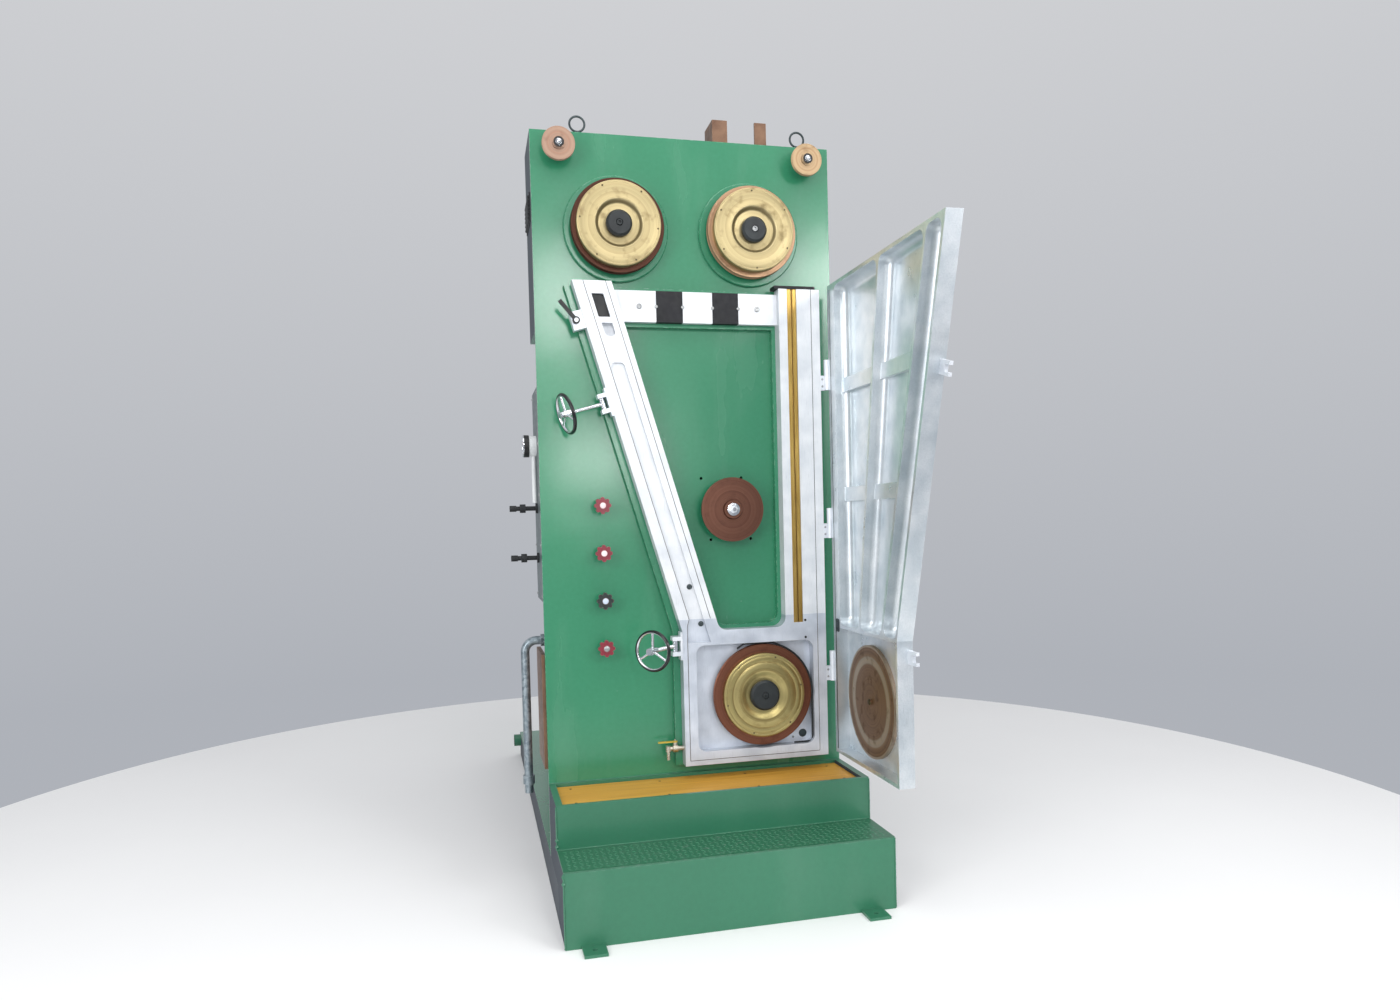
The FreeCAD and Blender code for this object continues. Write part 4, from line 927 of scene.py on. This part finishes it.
# A black cord along the pocket's top, round the wheel and down its right wall paints the shade at the
# pocket's edge.
POCKET_CORD, HUG, POCKET_CORD_OUT = 0.0038, 0.2069, 0.062
bend = np.radians(np.linspace(64, 0, 26))
round_wheel = np.stack([low_x + HUG * np.cos(bend), low_z + HUG * np.sin(bend)], -1)
top_run = rounded_path([(0.152, 0.917), (0.182, 0.9356), (0.300, 0.9356), (0.3467, 0.9140)], 0.008)
right_run = rounded_path([(low_x + HUG, low_z), (low_x + HUG, 0.5245), (0.384, 0.5245)], 0.016)
pocket_cord_line = np.concatenate([top_run[:-1], round_wheel, right_run[1:]])
make_piece("spray_hose", sweep(flat_path(pocket_cord_line, POCKET_CORD_OUT), POCKET_CORD, OUT, 12), "black_rubber")

# %% [markdown]
# ## Chequer plate and weld beads
#
# Each lozenge of the tread is a flattened spindle: its half width follows a half ellipse along its
# length. Neighbours turn by a right angle. A weld bead is a tube whose radius swells with every stop
# of the torch, plus a little seeded randomness, because hand welding is never even.

# %% Lozenges
tread_low, tread_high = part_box("tread_plate")
along = np.linspace(-1, 1, 7)[:, None]
about = np.linspace(0, 2 * np.pi, 8, endpoint=False)[None, :]
swell = np.sqrt(np.clip(1 - along ** 2, 0, 1))
lozenge = np.stack([0.0105 * along + 0 * about, 0.0031 * swell * np.cos(about),
                    0.0014 * swell * np.sin(about)], -1)
SPACING = 0.0215
columns = int((tread_high.x - tread_low.x) / SPACING) - 1
rows = int((tread_high.y - tread_low.y) / SPACING) - 1
column, row = [index.ravel() for index in np.meshgrid(np.arange(columns), np.arange(rows))]
spots = np.stack([tread_low.x + SPACING * (column + 1.2), tread_low.y + SPACING * (row + 1.1),
                  np.full(column.size, tread_high.z)], -1)
lay = np.where((column + row) % 2 == 0, np.pi / 4, -np.pi / 4)
make_piece("tread_lozenges", stand(lozenge, spots, UP, lay), "tread_paint", crease=60)


# %% Weld beads
chance = np.random.default_rng(7)


def weld_bead(name, start, end, normal, radius=0.0032):
    """Straight bead: radius times 1 + 0.22 of a sine every 6 mm along it, times 1 + seeded noise."""
    start, end = np.array(start, float), np.array(end, float)
    length = np.linalg.norm(end - start)
    count = int(length / 0.0015) + 2
    share = np.linspace(0, 1, count)
    ripple = 1 + 0.22 * np.sin(share * length / 0.006 * 2 * np.pi)
    uneven = 1 + 0.18 * np.convolve(chance.normal(size=count + 8), np.ones(9) / 9, "valid")
    path = start + share[:, None] * (end - start)
    make_piece(name, sweep(path, radius * ripple * uneven, normal, 8), "step_enamel", crease=70)


deck_low, deck_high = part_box("deck_box")
step_low, step_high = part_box("step_box")
for side, x in (("left", deck_low.x), ("right", deck_high.x)):
    weld_bead(f"deck_corner_bead_{side}", (x, deck_low.y, tread_high.z), (x, deck_low.y, deck_high.z - 0.006),
              (0, 1, 0))
    weld_bead(f"step_corner_bead_{side}", (x, step_low.y, 0.004), (x, step_low.y, step_high.z), (0, 1, 0))
weld_bead("tread_seam_bead", (deck_low.x, deck_low.y, tread_high.z), (deck_high.x, deck_low.y, tread_high.z),
          OUT, 0.0028)
weld_bead("deck_seam_bead", (deck_low.x, 0, deck_high.z), (deck_high.x, 0, deck_high.z), OUT, 0.0026)
blobs = [(deck_low.x, deck_low.y, tread_high.z + 0.035),
         (step_low.x, step_low.y + 0.004, step_high.z - 0.012),
         (deck_low.x, deck_low.y, tread_high.z + 0.012), (step_low.x, step_low.y, step_high.z - 0.035)]
blob = lathe([(0, 0.006), (0.004, 0.005), (0.0068, 0.002), (0.0075, -0.001), (0, -0.001)], 14)
fit("corner_weld_blobs", blob, blobs, "step_enamel", axis=(-1, -1, 0))

# %% [markdown]
# ## Threads of the swing bolts
#
# A thread is a helix, and as a surface it is a tube whose radius depends on both how far along and
# how far round a point is: r = core + depth x (half + half cos(turns - angle)). The two bolts' own
# axes come from the handwheels' joints.

# %% Threads
def thread(length, core, depth, pitch):
    """Tube along Z with a helical ridge; ends are drawn shut."""
    height = np.linspace(0, length, int(length / pitch * 6))[:, None]
    angle = np.linspace(0, 2 * np.pi, 16, endpoint=False)[None, :]
    radius = core + depth * (0.5 + 0.5 * np.cos(2 * np.pi * height / pitch - angle))
    tube = np.stack([radius * np.cos(angle), radius * np.sin(angle), height + 0 * angle], -1)
    cap = np.zeros((1, 16, 3))
    return np.concatenate([cap, tube, cap + (0, 0, length)])


for side in ("upper", "lower"):
    joint = joints[f"{side}_handwheel_turn"]
    pivot, axis = np.array(joint["pos_m"]), np.array(joint["axis"])
    fit(f"swing_thread_{side}", thread(0.112, 0.0070, 0.0009, 0.003), pivot + 0.014 * axis, "chrome",
        f"bolt_{side}", axis=axis, crease=50)

# %% [markdown]
# ## Gauge, vent and leg window
#
# On the left side a pressure gauge shows its dial, with a chrome bezel, plain ticks and a needle, and
# a vent has six rounded slats. High on the leg a black liner fills the upper window as painted shade.
# Flat shapes like the liner are an outline, here a superellipse, scaled by a profile of share and level.

# %% Gauge dial
gauge_low, gauge_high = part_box("pressure_gauge")
gauge = np.array([gauge_low.x, (gauge_low.y + gauge_high.y) / 2, (gauge_low.z + gauge_high.z) / 2])
bezel = lathe([(0.0385, 0.0004), (0.0385, -0.002), (0.0438, -0.002), (0.0438, 0.0028), (0.0420, 0.0048),
               (0.0396, 0.0036)], 56)
fit("gauge_bezel", bezel, gauge, "chrome", axis=LEFT, ring=True)
dial = lathe([(0, 0.0006), (0.0388, 0.0006), (0.0388, -0.001), (0, -0.001)], 56)
fit("gauge_dial", dial, gauge, "white_plastic", axis=LEFT)
tick_angles = np.radians(np.linspace(-135, 135, 11)) + np.pi / 2
tick = np.stack([0.0300 + 0.0035 * along + 0 * about, 0.0006 * swell * np.cos(about) + 0 * along,
                 0.0009 * swell * np.sin(about) + 0.0006], -1)
make_piece("gauge_ticks", stand(tick, np.repeat(gauge[None], 11, 0), LEFT, tick_angles), "black_enamel")
needle = np.stack([0.010 + 0.019 * along + 0 * about, 0.0016 * (1.1 - along) * swell * np.cos(about),
                   0.0008 * swell * np.sin(about) + 0.0024], -1)
make_piece("gauge_needle", stand(needle, gauge, LEFT, 2.2), "red_resin")
boss = lathe([(0, 0.0046), (0.003, 0.0044), (0.0042, 0.0030), (0.0042, 0.0004), (0, 0.0004)], 20)
fit("gauge_boss", boss, gauge, "black_enamel", axis=LEFT)

# %% Vent slats
vent_low, vent_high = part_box("side_vent")
slat_z = np.linspace(vent_low.z + 0.014, vent_high.z - 0.014, 6)
slat_y = np.linspace(vent_low.y + 0.010, vent_high.y - 0.010, 12)
slat_lines = [np.stack([np.full(12, vent_low.x - 0.001), slat_y, np.full(12, z)], -1) for z in slat_z]
slats = [sweep(line, 0.0052, UP, 10) for line in slat_lines]
make_piece("vent_slats", np.concatenate(slats), "black_enamel")


# %% Black liner in the leg window, painted shade
def slab(wide, tall, thick, lean, power):
    """Superellipse outline |x/a|^n + |z/b|^n = 1, sheared by lean, scaled by a profile of (share, level)."""
    angle = np.linspace(0, 2 * np.pi, 48, endpoint=False)
    cos, sin = np.cos(angle), np.sin(angle)
    x = wide / 2 * np.sign(cos) * np.abs(cos) ** (2 / power)
    z = tall / 2 * np.sign(sin) * np.abs(sin) ** (2 / power)
    x = x - lean * z
    profile = [(0, thick), (0.93, thick), (0.985, 0.85 * thick), (1, 0.5 * thick), (1, 0), (0, 0)]
    share, level = np.array(profile).T
    return np.stack([share[:, None] * x, -level[:, None] + 0 * x, share[:, None] * z], -1)


# A black liner fills the leg's upper window: painted shade inside it.
WINDOW_SHADE_Z = 2.256
window_shade_at = (leg_edge(WINDOW_SHADE_Z) + 0.081, -casting_front + 0.039, WINDOW_SHADE_Z)
make_piece("sight_glass", slab(0.045, 0.087, 0.030, LEAN, 8)[None] + window_shade_at, "black_enamel")

# %% [markdown]
# ## Door catch and disc bolt
#
# Two dark screws hold a small catch on the door's rim, beside the hinge line, and one bolt holds the
# copper disc. A black rubber cord draws a dark line along the same rim. All ride on the door and swing
# with it.

# %% Door fittings
catch = slab(0.034, 0.052, 0.0030, 0, 5)[..., [1, 0, 2]]
catch_at = (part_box("door_shell")[0].x, -0.146, 1.000)
make_piece("door_catch", catch[None] + catch_at, "dark_steel", "door")
catch_screws = [(catch_at[0] - 0.0028, -0.146, z) for z in (0.985, 1.015)]
fit("door_catch_screws", socket_screw(0.0042, 0.0016), catch_screws, "black_enamel", "door", axis=LEFT)
# A black cord draws the dark line between the door's rim and its trough.
rim_cord_points = [(catch_at[0] + 0.0006, -0.124, z) for z in np.linspace(0.500, 2.330, 40)]
make_piece("door_rim_seal", sweep(rim_cord_points, 0.0018, LEFT, 8), "black_rubber", "door", slot="insulator")
disc_bolt_at = (disc_low.x, disc_centre[1], disc_centre[2])
fit("door_disc_bolt", hex_head(0.0105, 0.004), disc_bolt_at, "dark_screw", "door", axis=LEFT)

# %% [markdown]
# ## The floor
#
# A pale round slab, wide enough for every view, with a soft edge.

# %% Floor
def floor_finish(name):
    finish = Finish(name)
    drift, speck = finish.cloud(0.7, 4), finish.cloud(120, 4)
    colour = finish.mix(drift * 0.6 + speck * 0.15, (238, 238, 238), (250, 250, 249))
    return finish.surface(colour, 0.55 + 0.2 * speck, speck, 0.0002)


keep(floor_finish, "pale_floor")
floor_grid = lathe([(0, 0), (3.58, 0), (3.6, -0.004), (3.605, -0.012), (3.6, -0.03), (0, -0.03)], 128)
fit("hall_floor", floor_grid, (0, 0.7, 0), "pale_floor", None, axis=UP)
